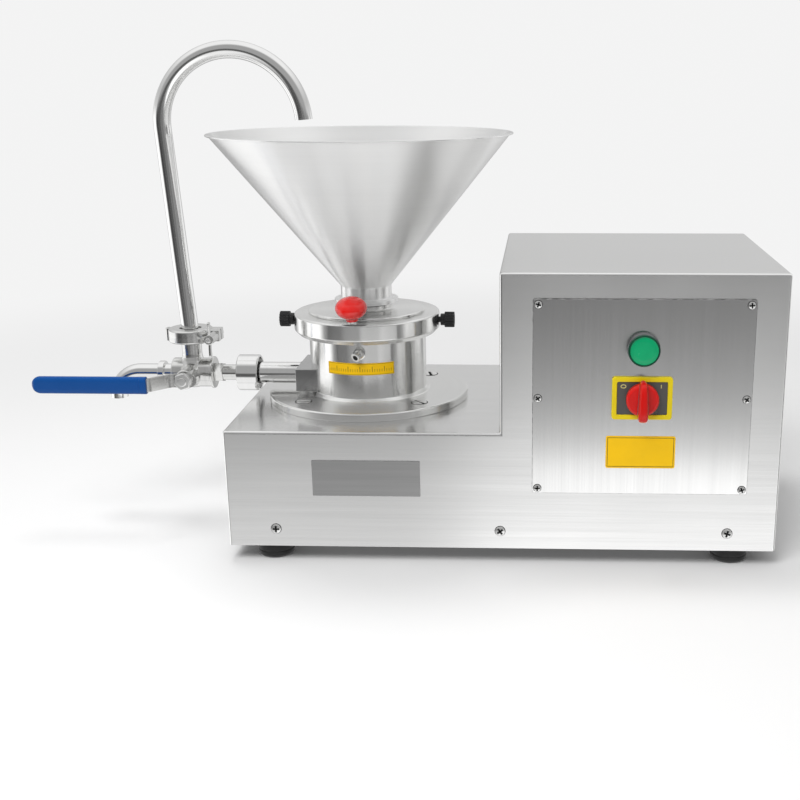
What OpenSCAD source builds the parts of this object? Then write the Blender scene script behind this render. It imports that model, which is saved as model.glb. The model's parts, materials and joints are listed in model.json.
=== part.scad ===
// Nut butter grinder: a vertical stone-type mill on a folded sheet-steel base, driven by a
// belt from the motor in the cabinet beside it. Ground butter leaves through the three-way
// valve on the left, or climbs the return pipe back into the hopper.
// Millimetres, +X to the right, +Y to the back, +Z up. The modules are written from the centre
// of the base's footprint; from_foot() then puts the origin under the front left foot.

/* [Housing] */
// Length of the base, left to right
base_len = 520; // [500:5:600]
// Depth of the base, front to back
base_depth = 270; // [250:5:320]
// Height of the low deck above the floor
deck_z = 130; // [126:1:150]
// Height of the motor cabinet's top above the floor
cabinet_z = 280; // [274:2:340]
// Length of the motor cabinet, left to right
cabinet_len = 260; // [250:2:280]
// Thickness of the folded sheet
sheet = 2; // [1:0.5:3]
// Width of the shell's land behind each cover's edge
cover_land = 13; // [11:1:20]
// Height of the shell's lower edge above the floor
foot_h = 16; // [12:1:22]
// Diameter of a rubber foot
foot_d = 35; // [28:1:40]
// Distance from a foot's axis to the base's end
foot_inset_x = 40; // [30:1:60]
// Distance from a foot's axis to the base's front or back
foot_inset_y = 24; // [24:1:40]
// Diameter of a foot's threaded stud
foot_stud_d = 8; // [6:1:10]
// Thickness of the base tray
tray_t = 3; // [2:0.5:4]
// Height of the base tray's turned-up edge
tray_h = 30; // [26:1:36]
// Height of the tray screws above the shell's lower edge
tray_screw_rise = 17.5; // [12:0.5:20]
// Distance from the outer tray screws to the base's end
tray_screw_inset = 46; // [40:1:60]
// Thread diameter of the tray screws
tray_screw_d = 5; // [4:0.5:6]
// Head diameter of the tray screws
tray_screw_head = 9.5; // [8:0.5:11]

/* [Covers and plates] */
// Width of the control panel and of the vented back cover
panel_w = 200; // [190:2:216]
// Height of the control panel and of the vented back cover
panel_h = 184; // [176:2:196]
// Thickness of the control panel and of the back cover
panel_t = 2; // [1:0.5:3]
// Height of the panel's middle above the floor
panel_mid_z = 165; // [162:1:175]
// Distance from a panel screw to the panel's edge
panel_screw_inset = 5; // [4.5:0.5:6]
// Thread diameter of the panel screws
panel_screw_d = 4; // [3:0.5:5]
// Head diameter of the panel screws
panel_screw_head = 7; // [6:0.5:8]
// Number of vent slots in each column of the back cover
vent_rows = 9; // [5:1:11]
// Height of a vent slot
vent_h = 5; // [3:0.5:7]
// Width of the blank label on the panel
label_w = 64; // [50:1:80]
// Height of the blank label on the panel
label_h = 31; // [24:1:36]
// Distance from the panel's middle down to the label's middle
label_drop = 51; // [48:1:60]
// Thickness of the label and of the scale band
label_t = 0.6; // [0.4:0.1:1]
// Width of the blank nameplate on the low front
nameplate_w = 102; // [80:1:120]
// Height of the blank nameplate
nameplate_h = 35; // [25:1:40]
// Thickness of the nameplate
nameplate_t = 1; // [0.5:0.1:1.5]
// Distance from the base's left end to the nameplate's middle
nameplate_from_end = 134; // [110:1:160]
// Height of the nameplate's middle above the floor
nameplate_z = 85; // [76:1:92]
// Thread diameter of the cable gland
gland_d = 18; // [16:0.5:19]
// Distance from the cabinet's middle to the gland, to the right
gland_shift = 45; // [30:1:60]
// Height of the gland's axis above the floor
gland_z = 61; // [60.5:0.5:62]

/* [Controls] */
// Diameter of the push button's cap
button_d = 29; // [26:0.5:32]
// Diameter of the panel hole for the button's barrel
button_hole_d = 22.4; // [20:0.2:24]
// Height of the button above the panel's middle
button_rise = 47; // [42:1:56]
// Travel of the push button
button_travel = 3; // [2:0.5:4]
// Thickness of the button's cap
button_cap_t = 3.8; // [3:0.2:6]
// Thickness of the button's bezel
bezel_t = 4; // [3:0.5:6]
// Width of the switch's yellow plate
switch_w = 55; // [50:1:62]
// Height of the switch's yellow plate
switch_h = 40; // [38:1:48]
// Thickness of the switch's yellow plate
switch_t = 3; // [2:0.5:4]
// Border of the yellow plate around the dark face
switch_border = 4.5; // [3:0.5:6]
// Height of the switch above the panel's middle
switch_rise = 1; // [-4:1:4]
// Diameter of the rotary knob's base
knob_d = 30; // [26:1:32]
// Thickness of the rotary knob's base
knob_t = 8; // [6:0.5:10]
// Length of the rotary knob's grip
knob_grip_len = 38; // [34:1:42]
// Width of the rotary knob's grip
knob_grip_w = 9; // [7:0.5:11]
// Height of the rotary knob's grip above its base
knob_grip_h = 14; // [10:0.5:18]
// Diameter of the switch's shaft
switch_shaft_d = 8; // [6:0.5:9]
// Side of the switch block behind the panel
switch_block = 46; // [40:1:48]
// Depth of the switch block behind the panel
switch_depth = 38; // [30:1:42]

/* [Mill] */
// Distance from the cabinet's left wall to the mill's axis
head_gap = 140; // [134:1:150]
// Diameter of the mill's foot flange
flange_d = 204; // [196:2:216]
// Thickness of the mill's foot flange
flange_t = 8; // [6:0.5:10]
// Distance from the flange bolts' circle to the flange's edge
bolt_inset = 20.5; // [16:0.5:22]
// Thread diameter of the flange bolts
flange_bolt_d = 8; // [6:1:10]
// Head diameter of the flange bolts
flange_bolt_head = 16; // [14:0.5:18]
// Diameter of the mill body
mill_d = 118; // [116:0.5:124]
// Height of the mill body above its flange
mill_h = 59.3; // [57:0.1:64]
// Diameter of the grinding chamber
chamber_d = 92; // [88:0.5:96]
// Thickness of the chamber's floor above the flange
chamber_floor = 4; // [3:0.5:6]
// Diameter of the threaded neck inside the adjusting ring
mill_neck_d = 112; // [108:0.5:113]
// Height of the outlet's axis above the deck
outlet_rise = 23; // [20:0.5:25]
// Distance from the mill's axis to the outlet block's left face
outlet_block_reach = 70; // [67:1:76]
// Width of the outlet block, front to back
outlet_block_w = 66; // [50:1:76]
// Height of the outlet block
outlet_block_h = 23; // [22.5:0.5:26]
// Diameter of the outlet's bore
outlet_bore = 14; // [10:0.5:15]
// Height of the scale band
band_h = 12; // [8:0.5:16]
// Height of the scale band's lower edge above the deck
band_rise = 35.5; // [33:0.5:40]
// Half of the arc that the scale band covers, in degrees
band_half_arc = 33; // [20:1:45]
// Outer diameter of the cooling nipple
nipple_d = 9; // [7:0.5:11]
// Length of the cooling nipple outside its collar
nipple_len = 7; // [5:0.5:12]

/* [Adjusting ring] */
// Diameter of the adjusting ring
ring_d = 147; // [142:0.5:154]
// Height of the adjusting ring
ring_h = 21.2; // [20:0.1:24]
// Chamfer under the adjusting ring
ring_chamfer = 5; // [3:0.5:6]
// Thickness of the ring's top plate
ring_plate_t = 4.8; // [4:0.1:7]
// Diameter of the feed opening through ring and stator
feed_d = 42; // [41:0.5:46]
// Diameter of the raised cover disc
cover_d = 118; // [110:1:124]
// Thickness of the raised cover disc
cover_t = 3; // [2:0.5:4]
// Height of the cover's threaded boss
boss_h = 5; // [4:0.5:8]
// Diameter of the cover's threaded boss
boss_d = 52; // [48:0.5:56]
// Width of the adjusting knob
ball_w = 31; // [28:0.5:34]
// Height of the adjusting knob along its stud
ball_h = 20; // [18:0.5:28]
// Diameter of the adjusting knob's stud
stud_d = 8; // [6:0.5:9]
// Lean of the stud outwards from upright, in degrees
stud_lean = 10; // [0:1:35]
// Turn of the stud round the head to the left of the front, in degrees
stud_turn = 4; // [0:1:20]
// Distance from the ring's top to the middle of the adjusting knob, along the stud
ball_rise = 17; // [15.5:0.5:22]
// Diameter of a lock screw's black knob
lock_knob_d = 16; // [12:0.5:18]
// Length of a lock screw's black knob
lock_knob_len = 14; // [10:0.5:16]
// Thread diameter of a lock screw
lock_stud_d = 6; // [5:0.5:7]
// Depth of a lock screw's axis below the ring's top
lock_drop = 9; // [8.5:0.5:11]

/* [Grinding set] */
// Diameter of the rotor at its foot
rotor_foot_d = 72; // [66:0.5:76]
// Diameter of the rotor at its top
rotor_top_d = 36; // [32:0.5:40]
// Height of the rotor's cone
rotor_h = 36; // [32:0.5:38]
// Thickness of the sweeping disc under the cone
sweep_t = 12; // [9:0.5:13]
// Gap between the rotor and the stator
grind_gap = 0.5; // [0.3:0.05:1]
// Teeth around the rotor
rotor_teeth = 12; // [6:1:18]

/* [Hopper] */
// Outer diameter of the hopper's rim
rim_d = 298; // [280:2:320]
// Height of the hopper's cone
cone_h = 149.5; // [130:0.5:170]
// Wall of the hopper
hopper_wall = 1.5; // [1:0.1:2.5]
// Width of the flat lip around the rim
lip_w = 3; // [2:0.5:5]
// Outer diameter of the hopper's neck
hopper_neck_d = 51; // [50:0.5:56]
// Height of the hopper's neck
hopper_neck_h = 13; // [8:0.5:20]
// Diameter of the flange under the neck
hopper_flange_d = 64; // [60:1:70]
// Thickness of the flange under the neck
hopper_flange_t = 4; // [3:0.5:5]
// Outer diameter of the threaded spigot below the flange
spigot_d = 39.9; // [36:0.1:40]
// Wall of the threaded spigot
spigot_wall = 2.4; // [1.5:0.1:3]
// Thickness of the gasket under the hopper
gasket_t = 1.7; // [1:0.1:3]

/* [Spindle] */
// Diameter of the spindle at its bearings
spindle_d = 25; // [24:0.5:25]
// Diameter of the spindle's nose inside the rotor
nose_d = 18; // [14:0.5:19]
// Outer diameter of a spindle bearing
bearing_d = 52; // [50:0.5:54]
// Width of a spindle bearing
bearing_w = 15; // [12:0.5:16]
// Outer diameter of the bearing housing's tube
bearing_tube_d = 72; // [68:1:80]
// Length of the bearing housing below the deck
bearing_tube_len = 64; // [56:1:66]
// Thickness of the bearing housing's flange
bearing_flange_t = 10; // [8:0.5:12]
// Diameter of the bearing housing's spigot in the mill's foot
pilot_d = 70; // [66:1:76]
// Thickness of the shaft seal
seal_t = 5; // [4:0.5:6]

/* [Belt drive] */
// Height of the belt's middle above the base tray
belt_rise = 19; // [17:0.5:20]
// Pitch diameter of the motor's pulley
drive_pitch_d = 80; // [72:1:90]
// Pitch diameter of the spindle's pulley
driven_pitch_d = 64; // [60:1:72]
// Width of the belt at its outer face
belt_w = 13; // [11:0.5:14]
// Thickness of the belt
belt_t = 8; // [6:0.5:9]
// Rim of a pulley beside the belt's groove
pulley_rim = 4; // [3:0.5:5]

/* [Motor] */
// Diameter of the motor's barrel without its fins
motor_d = 132; // [124:1:138]
// Height of the motor's fins
fin_h = 7; // [4:0.5:9]
// Thickness of a fin
fin_t = 2.4; // [1.5:0.1:3]
// Number of fins around the barrel
fin_count = 28; // [16:1:36]
// Length of the motor's barrel
motor_len = 118; // [100:1:120]
// Diameter of the motor's flange
motor_flange_d = 160; // [154:1:166]
// Thickness of the motor's flange
motor_flange_t = 12; // [10:0.5:14]
// Distance from the motor bolts' circle to the flange's edge
motor_bolt_inset = 8; // [7:0.5:9]
// Thread diameter of the motor's bolts
motor_bolt_d = 8; // [6:0.5:8]
// Diameter of the motor's shaft
motor_shaft_d = 19; // [16:0.5:22]
// Diameter of the motor's rotor core
core_d = 86; // [70:1:96]
// Height of the fan cover
fan_cover_h = 42; // [36:0.5:44]
// Diameter of the cooling fan
fan_d = 118; // [100:1:122]
// Number of fan blades
fan_blades = 8; // [5:1:12]
// Side of the square motor bracket
bracket_side = 176; // [172:1:186]
// Thickness of the motor bracket's plate
bracket_t = 8; // [6:0.5:9]
// Height of the motor bracket's legs
bracket_leg_h = 47; // [46:0.5:50]
// Depth of the terminal box outside the fins
terminal_depth = 34; // [24:1:36]
// Width of the terminal box
terminal_w = 68; // [50:1:80]
// Height of the terminal box
terminal_h = 62; // [40:1:70]

/* [Pipework] */
// Outer diameter of the outlet pipe
outlet_pipe_d = 22; // [20:0.5:22.5]
// Length of the outlet pipe between block and union
outlet_pipe_len = 43; // [36:1:60]
// Outer diameter of the union ring
union_d = 37; // [34:0.5:40]
// Length of the union ring
union_len = 22; // [18:0.5:26]
// Outer diameter of the return pipe and the spout
pipe_d = 17; // [16:0.5:18]
// Bore of the return pipe and the spout
pipe_bore = 13.4; // [11:0.1:14]
// Distance from the union to the valve's axis
valve_reach = 48; // [46:1:56]
// Diameter of the valve's barrel
valve_d = 30; // [29:0.5:33]
// Half length of the valve's barrel
valve_half = 20; // [18:0.5:23]
// Diameter of the valve's ball
ball_valve_d = 24; // [22:0.5:24.4]
// Bore of the valve
valve_bore = 12; // [9:0.5:12]
// Height of the valve's top port above its axis
valve_port_h = 40; // [30:0.5:42]
// Diameter of the clamped ferrules
ferrule_d = 36; // [34:0.5:38]
// Thickness of each clamped ferrule
ferrule_t = 3; // [2.5:0.1:4]
// Outer diameter of the pipe clamp
clamp_d = 45; // [43:0.5:50]
// Height of the pipe clamp
clamp_h = 14; // [11:0.5:15]
// Distance from the clamp's axis to its bolt
clamp_bolt_reach = 26.5; // [26:0.5:30]
// Width across the wings of the clamp's nut
wing_span = 36; // [24:1:40]
// Diameter of the wing nut's boss
wing_boss_d = 10; // [8:0.5:11]
// Thickness of the clamp's bolt lugs, front to back
lug_w = 18; // [14:1:22]
// Distance from the valve's axis to the end of the stem boss
stem_boss = 34.5; // [25:0.5:38]
// Diameter of the valve's stem
stem_d = 9; // [7:0.5:9.5]
// Length of the handle from the stem to its tip
handle_len = 147; // [120:1:148]
// Width of the handle's steel strip
handle_w = 14; // [11:0.5:15]
// Thickness of the handle's steel strip
handle_t = 3; // [2:0.5:3.5]
// Step of the handle outwards from the stem
handle_step = 20; // [8:0.5:26]
// Length of the blue grip
grip_len = 116; // [90:1:123]
// Height of the blue grip
grip_h = 17.5; // [17:0.5:20]
// Thickness of the blue grip
grip_t = 8; // [6:0.5:10]
// Radius of the spout's bend, on the pipe's axis
spout_bend = 25; // [18:0.5:30]
// Length of the spout before its bend
spout_run = 35; // [20:0.5:44]
// Distance from the valve's barrel to the spout's collar
collar_gap = 9; // [1:0.5:12]
// Length of the spout after its bend
spout_drop = 2; // [1:0.5:12]
// Length of the return pipe's straight riser
riser_len = 205; // [202:1:240]
// Lean of the riser to the left, in degrees
riser_lean = 3.4; // [0:0.1:5]
// Radius of the return pipe's arch, on its axis
arch_r = 70; // [60:0.5:80]
// Turn of the return pipe's arch, in degrees
arch_turn = 180; // [150:1:180]

/* [Fits] */
// Radial clearance of a shaft that turns in a fixed bore
run_fit = 0.05; // [0.02:0.01:0.1]
// Clearance between moving pieces
gap = 0.3; // [0.2:0.05:0.5]
// Clearance of a piece that is fixed in its seat
seat = 0.02; // [0.01:0.01:0.05]

/* [Hidden] */
$fn = 96;
eps = 0.5;
lap = 1;
front_y = -base_depth / 2;
back_y = base_depth / 2;
step_x = base_len / 2 - cabinet_len;
cabinet_x = base_len / 2 - cabinet_len / 2;
tray_top = foot_h + tray_t;
deck_under = deck_z - sheet;
window_w = panel_w - 2 * cover_land;
window_h = panel_h - 2 * cover_land;
tray_screw_z = foot_h + tray_screw_rise;
tray_screw_xs = [for (s = [-1, 0, 1]) s * (base_len / 2 - tray_screw_inset)];
screw_head_h = 2.2;
nut_t = 5;

panel_front = front_y - panel_t;
button_z = panel_mid_z + button_rise;
switch_z = panel_mid_z + switch_rise;
switch_front = panel_front - switch_t;
bezel_front = panel_front - bezel_t;
cap_back = bezel_front - button_travel - gap;
barrel_len = 20;
barrel_end = panel_front + barrel_len;
barrel_bore_d = button_hole_d - 4;

head_x = step_x - head_gap;
bolt_circle = flange_d - 2 * bolt_inset;
flange_top = deck_z + flange_t;
chamber_z = flange_top + chamber_floor;
mill_top = flange_top + mill_h;
ring_z = mill_top + gap;
ring_top = ring_z + ring_h;
plate_z = ring_top - ring_plate_t;
neck_top = plate_z - gap;
cover_top = ring_top + cover_t;
boss_top = cover_top + boss_h;
outlet_z = deck_z + outlet_rise;
lock_z = ring_top - lock_drop;
ball_seat_r = (ring_d + cover_d) / 4;
stator_d = chamber_d - 2 * gap;

sweep_z = chamber_z + gap;
cone_z = sweep_z + sweep_t;
rotor_top = cone_z + rotor_h;
rotor_nut_h = 8;

hopper_base = boss_top + gasket_t;
hopper_neck_z = hopper_base + hopper_flange_t;
cone_base = hopper_neck_z + hopper_neck_h;
rim_z = cone_base + cone_h;

pilot_depth = 4;
pilot_top = deck_z + pilot_depth;
bearing_bottom = deck_under - bearing_tube_len;
seal_z = pilot_top - seal_t;
upper_bearing_z = seal_z - bearing_w;
lower_bearing_z = bearing_bottom + 3;

belt_z = tray_top + belt_rise;
belt_pitch_depth = 3;
groove_slope = tan(19);
groove_depth = belt_t + 2;
pulley_half = belt_w / 2 + pulley_rim;
spindle_foot = belt_z - pulley_half - nut_t - 0.5;
shaft_foot = belt_z - pulley_half - 2;
belt_centres = cabinet_x - head_x;
belt_lean = asin((drive_pitch_d - driven_pitch_d) / 2 / belt_centres);

motor_bolt_circle = motor_flange_d - 2 * motor_bolt_inset;
bracket_z = tray_top + bracket_leg_h;
motor_z = bracket_z + bracket_t;
barrel_z = motor_z + motor_flange_t;
barrel_top = barrel_z + motor_len;
end_wall = 8;
fan_z = barrel_top + 6;
fan_h = 22;

block_x = head_x - outlet_block_reach;
union_right = block_x - outlet_pipe_len;
union_left = union_right - union_len;
valve_x = union_left - valve_reach;
port_top = outlet_z + valve_port_h;
pipe_ferrule_z = port_top + gap;
clamp_z = (port_top + pipe_ferrule_z) / 2 - clamp_h / 2;
clamp_lip_d = pipe_d + 5;
clamp_bolt_x = valve_x + clamp_bolt_reach;
wing_start = clamp_d / 2 + 1;
wing_len = 6;
spout_x = valve_x - valve_half;
handle_back = -stem_boss - gap;
grip_y = handle_back - handle_step - handle_t / 2;
handle_bend_start = 13;
handle_bend_end = handle_len - grip_len;

// ---- Shared shapes ----

module tube(d_out, d_in, h) {
    difference() {
        cylinder(d = d_out, h = h);
        translate([0, 0, -eps]) cylinder(d = d_in, h = h + 2 * eps);
    }
}

// Turn a child's +Z axis to the right, to the left, to the back or to the front.
module to_right() rotate([0, 90, 0]) children();
module to_left() rotate([0, -90, 0]) children();
module to_back() rotate([-90, 0, 0]) children();
module to_front() rotate([90, 0, 0]) children();

// A plate in the XZ plane whose back face is at y = 0.
module upright_plate(w, h, t) translate([-w / 2, -t, -h / 2]) cube([w, t, h]);

// A cross-head screw whose head stands above z = 0.
module screw(d, head_d, len) {
    slot = head_d * 0.6;
    difference() {
        union() {
            cylinder(d = head_d, h = screw_head_h);
            translate([0, 0, -len]) cylinder(d = d, h = len + eps);
        }
        for (a = [0, 90]) rotate(a)
            translate([-slot / 2, -0.6, screw_head_h - 1]) cube([slot, 1.2, 2]);
    }
}

// Places that fasteners and their holes share.
module at_cover_screws() {
    for (sx = [-1, 1], sz = [-1, 0, 1])
        translate([sx * (panel_w / 2 - panel_screw_inset), 0,
                   sz * (panel_h / 2 - panel_screw_inset)]) children();
}
module at_panel(y) translate([cabinet_x, y, panel_mid_z]) children();
module at_tray_screws() {
    for (x = tray_screw_xs) translate([x, 0, tray_screw_z]) children();
}
module at_feet() {
    for (sx = [-1, 1], sy = [-1, 1])
        translate([sx * (base_len / 2 - foot_inset_x),
                   sy * (base_depth / 2 - foot_inset_y), 0]) children();
}
module at_head(z) translate([head_x, 0, z]) children();
module at_motor(z) translate([cabinet_x, 0, z]) children();
module at_flange_bolts() {
    for (a = [45:90:315]) rotate(a) translate([bolt_circle / 2, 0, 0]) children();
}
module at_motor_bolts() {
    for (a = [45:90:315]) rotate(a) translate([motor_bolt_circle / 2, 0, 0]) children();
}
module at_valve() translate([valve_x, 0, outlet_z]) children();
module from_foot() translate([base_len / 2 - foot_inset_x, base_depth / 2 - foot_inset_y, 0])
    children();

// ---- Housing ----

// The stepped side outline of the shell, drawn in by the given inset.
module shell_outline(inset, bottom) {
    polygon([
        [-base_len / 2 + inset, bottom], [base_len / 2 - inset, bottom],
        [base_len / 2 - inset, cabinet_z - inset], [step_x + inset, cabinet_z - inset],
        [step_x + inset, deck_z - inset], [-base_len / 2 + inset, deck_z - inset]
    ]);
}

module housing_shell() color("lightgray") {
    difference() {
        to_front() linear_extrude(base_depth, center = true) shell_outline(0, foot_h);
        to_front() linear_extrude(base_depth - 2 * sheet, center = true)
            shell_outline(sheet, foot_h - eps);
        at_panel(0) cube([window_w, base_depth + 2, window_h], center = true);
        for (side = [-1, 1]) {
            at_panel(side * base_depth / 2) at_cover_screws() to_front()
                cylinder(d = panel_screw_d + 2 * seat, h = 3 * sheet, center = true);
            translate([0, side * base_depth / 2, 0]) at_tray_screws() to_front()
                cylinder(d = tray_screw_d + 2 * seat, h = 3 * sheet, center = true);
        }
        at_head(deck_under - eps) {
            cylinder(d = pilot_d + 2, h = sheet + 2 * eps);
            at_flange_bolts() cylinder(d = flange_bolt_d + 2 * seat, h = sheet + 2 * eps);
        }
        translate([cabinet_x + gland_shift, back_y, gland_z]) to_front()
            cylinder(d = gland_d + 2 * seat, h = 3 * sheet, center = true);
    }
}

module base_tray() color("silver") {
    w = base_len - 2 * sheet;
    d = base_depth - 2 * sheet;
    difference() {
        translate([-w / 2, -d / 2, foot_h]) cube([w, d, tray_h]);
        translate([-w / 2 + tray_t, -d / 2 + tray_t, tray_top])
            cube([w - 2 * tray_t, d - 2 * tray_t, tray_h]);
        for (side = [-1, 1])
            translate([0, side * base_depth / 2, 0]) at_tray_screws() to_front()
                cylinder(d = tray_screw_d + 2 * seat, h = 4 * (sheet + tray_t), center = true);
        at_feet() translate([0, 0, foot_h - eps])
            cylinder(d = foot_stud_d + 2 * seat, h = tray_t + 2 * eps);
        for (sx = [-1, 1]) at_motor(foot_h - eps) translate([sx * motor_bolt_circle / 4, 0, 0])
            cylinder(d = 24, h = tray_t + 2 * eps);
    }
}

module tray_screws() color("gainsboro") {
    reach = sheet + tray_t + 3;
    translate([0, front_y, 0]) at_tray_screws() to_front()
        screw(tray_screw_d, tray_screw_head, reach);
    translate([0, back_y, 0]) at_tray_screws() to_back()
        screw(tray_screw_d, tray_screw_head, reach);
}

// Rubber feet with moulded-in studs and their nuts.
module feet() color("black") {
    r = foot_d / 2;
    at_feet() {
        rotate_extrude() polygon([
            [0, 0], [r - 2, 0], [r, 2], [r, foot_h - 1], [r - 1, foot_h], [0, foot_h]
        ]);
        translate([0, 0, foot_h - eps]) cylinder(d = foot_stud_d, h = tray_t + nut_t + eps);
        translate([0, 0, tray_top]) cylinder(d = 1.8 * foot_stud_d, h = nut_t, $fn = 6);
    }
}

module control_panel() color("gainsboro") {
    at_panel(front_y) difference() {
        upright_plate(panel_w, panel_h, panel_t);
        at_cover_screws() to_front()
            cylinder(d = panel_screw_d + 2 * seat, h = 4 * panel_t, center = true);
        translate([0, 0, button_rise]) to_front()
            cylinder(d = button_hole_d, h = 4 * panel_t, center = true);
        translate([0, 0, switch_rise]) to_front()
            cylinder(d = switch_shaft_d + 4, h = 4 * panel_t, center = true);
    }
}

module back_cover() color("gainsboro") {
    vent_w = window_w * 0.4;
    pitch = window_h / (vent_rows + 1);
    at_panel(back_y + panel_t) difference() {
        upright_plate(panel_w, panel_h, panel_t);
        at_cover_screws() to_front()
            cylinder(d = panel_screw_d + 2 * seat, h = 4 * panel_t, center = true);
        for (row = [1:vent_rows], side = [-1, 1])
            translate([side * window_w / 4, 0, row * pitch - window_h / 2])
                cube([vent_w, 4 * panel_t, vent_h], center = true);
    }
}

module cover_screws() color("gainsboro") {
    reach = panel_t + sheet + 3;
    at_panel(panel_front) at_cover_screws() to_front()
        screw(panel_screw_d, panel_screw_head, reach);
    at_panel(back_y + panel_t) at_cover_screws() to_back()
        screw(panel_screw_d, panel_screw_head, reach);
}

module nameplate() color("darkgray") {
    translate([-base_len / 2 + nameplate_from_end, front_y, nameplate_z])
        upright_plate(nameplate_w, nameplate_h, nameplate_t);
}

module panel_label() color("gold") {
    at_panel(panel_front) translate([0, 0, -label_drop])
        upright_plate(label_w, label_h, label_t);
}

// Gland for the supply cord, with its lock nut inside the shell.
module cable_gland() color("dimgray") {
    translate([cabinet_x + gland_shift, back_y, gland_z]) difference() {
        union() {
            to_front() cylinder(d = gland_d, h = sheet + nut_t);
            translate([0, -sheet, 0]) to_front() cylinder(d = gland_d * 1.35, h = nut_t - 1, $fn = 6);
            to_back() cylinder(d = gland_d * 1.35, h = 6, $fn = 6);
            to_back() cylinder(d = gland_d * 1.1, h = 18);
        }
        to_front() cylinder(d = gland_d * 0.45, h = 4 * gland_d, center = true);
    }
}

// ---- Controls ----

// Bezel and threaded barrel in one piece, with the nut that holds it to the panel.
module button_bezel() color("darkslategray") {
    translate([cabinet_x, panel_front, button_z]) difference() {
        union() {
            to_front() cylinder(d = button_d + 1, h = bezel_t);
            translate([0, -eps, 0]) to_back()
                cylinder(d = button_hole_d - 2 * seat, h = barrel_len + eps);
            translate([0, panel_t, 0]) to_back() cylinder(d = button_d, h = nut_t, $fn = 6);
        }
        to_front() cylinder(d = barrel_bore_d, h = 4 * barrel_len, center = true);
    }
}

module button_cap() color("mediumseagreen") {
    translate([cabinet_x, cap_back, button_z]) {
        to_front() cylinder(d = button_d, h = button_cap_t);
        translate([0, -eps, 0]) to_back()
            cylinder(d = barrel_bore_d - 2 * gap, h = barrel_end - cap_back - button_travel - gap + eps);
    }
}

module button_block() color("black") {
    depth = 22;
    translate([cabinet_x, barrel_end, button_z])
        translate([-14, 0, -14]) cube([28, depth, 28]);
}

module switch_frame() color("gold") {
    at_panel(panel_front) translate([0, 0, switch_rise]) difference() {
        upright_plate(switch_w, switch_h, switch_t);
        translate([0, -switch_t / 2, 0])
            upright_plate(switch_w - 2 * switch_border, switch_h - 2 * switch_border, switch_t);
        to_front() cylinder(d = switch_shaft_d + 4, h = 4 * switch_t, center = true);
    }
}

module switch_face() color("dimgray") {
    at_panel(panel_front - switch_t / 2) translate([0, 0, switch_rise]) difference() {
        upright_plate(switch_w - 2 * (switch_border + seat),
                      switch_h - 2 * (switch_border + seat), switch_t / 2 + 0.2);
        to_front() cylinder(d = switch_shaft_d + 2 * run_fit, h = 4 * switch_t, center = true);
    }
}

// Rotary knob: a round base, a tapering grip across it and the switch's shaft.
module switch_knob() color("red") {
    w = knob_grip_w / 2;
    tip = knob_grip_len / 2;
    translate([cabinet_x, switch_front - gap - 0.2, switch_z]) {
        to_front() cylinder(d = knob_d, h = knob_t);
        translate([0, -knob_t + eps, 0]) to_front() linear_extrude(knob_grip_h + eps)
            polygon([
                [-w, tip - w], [-w / 2, tip], [w / 2, tip], [w, tip - w],
                [w, -tip + w], [w / 2, -tip], [-w / 2, -tip], [-w, -tip + w]
            ]);
        translate([0, -eps, 0]) to_back()
            cylinder(d = switch_shaft_d, h = switch_t + panel_t + switch_depth / 3 + eps);
    }
}

module switch_block() color("black") {
    translate([cabinet_x, front_y, switch_z]) difference() {
        translate([-switch_block / 2, 0, -switch_block / 2])
            cube([switch_block, switch_depth, switch_block]);
        translate([0, -eps, 0]) to_back()
            cylinder(d = switch_shaft_d + 2 * run_fit, h = switch_depth / 2 + eps);
    }
}

// ---- Motor ----

// Welded bracket: a square plate on four round legs, with the shaft's opening in it.
module motor_bracket() color("gray") {
    leg = bracket_side / 2 - 9;
    difference() {
        union() {
            at_motor(bracket_z) translate([-bracket_side / 2, -bracket_side / 2, 0])
                cube([bracket_side, bracket_side, bracket_t]);
            for (sx = [-1, 1], sy = [-1, 1])
                at_motor(tray_top) translate([sx * leg, sy * leg, 0])
                    cylinder(d = 16, h = bracket_leg_h + eps);
        }
        at_motor(bracket_z - eps) {
            cylinder(d = motor_d * 0.6, h = bracket_t + 2 * eps);
            at_motor_bolts() cylinder(d = motor_bolt_d + 2 * seat, h = bracket_t + 2 * eps);
        }
    }
}

module motor_flange() color("steelblue") {
    at_motor(motor_z) difference() {
        cylinder(d = motor_flange_d, h = motor_flange_t);
        translate([0, 0, -eps])
            cylinder(d = motor_shaft_d + 2 * run_fit, h = motor_flange_t + 2 * eps);
        translate([0, 0, -eps]) at_motor_bolts()
            cylinder(d = motor_bolt_d + 2 * seat, h = motor_flange_t + 2 * eps);
    }
}

// Hexagon bolts from below, through the bracket into the motor's flange.
module motor_bolts() color("gainsboro") {
    at_motor(bracket_z) at_motor_bolts() {
        translate([0, 0, -nut_t]) cylinder(d = 1.6 * motor_bolt_d, h = nut_t, $fn = 6);
        translate([0, 0, -eps]) cylinder(d = motor_bolt_d, h = bracket_t + motor_flange_t - 1 + eps);
    }
}

module motor_barrel() color("steelblue") {
    at_motor(barrel_z) difference() {
        union() {
            cylinder(d = motor_d, h = motor_len);
            for (i = [0:fin_count - 1]) rotate(i * 360 / fin_count)
                translate([motor_d / 2 - 1, -fin_t / 2, 4]) cube([fin_h + 1, fin_t, motor_len - 8]);
        }
        translate([0, 0, -eps]) cylinder(d = core_d + 2 * gap, h = motor_len - end_wall + eps);
        translate([0, 0, -eps])
            cylinder(d = motor_shaft_d + 2 * run_fit, h = motor_len + 2 * eps);
    }
}

// Shaft and rotor core in one piece.
module motor_shaft() color("silver") {
    at_motor(shaft_foot) cylinder(d = motor_shaft_d, h = fan_z + fan_h - shaft_foot);
    at_motor(barrel_z + 10) cylinder(d = core_d, h = motor_len - end_wall - 20);
}

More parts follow.
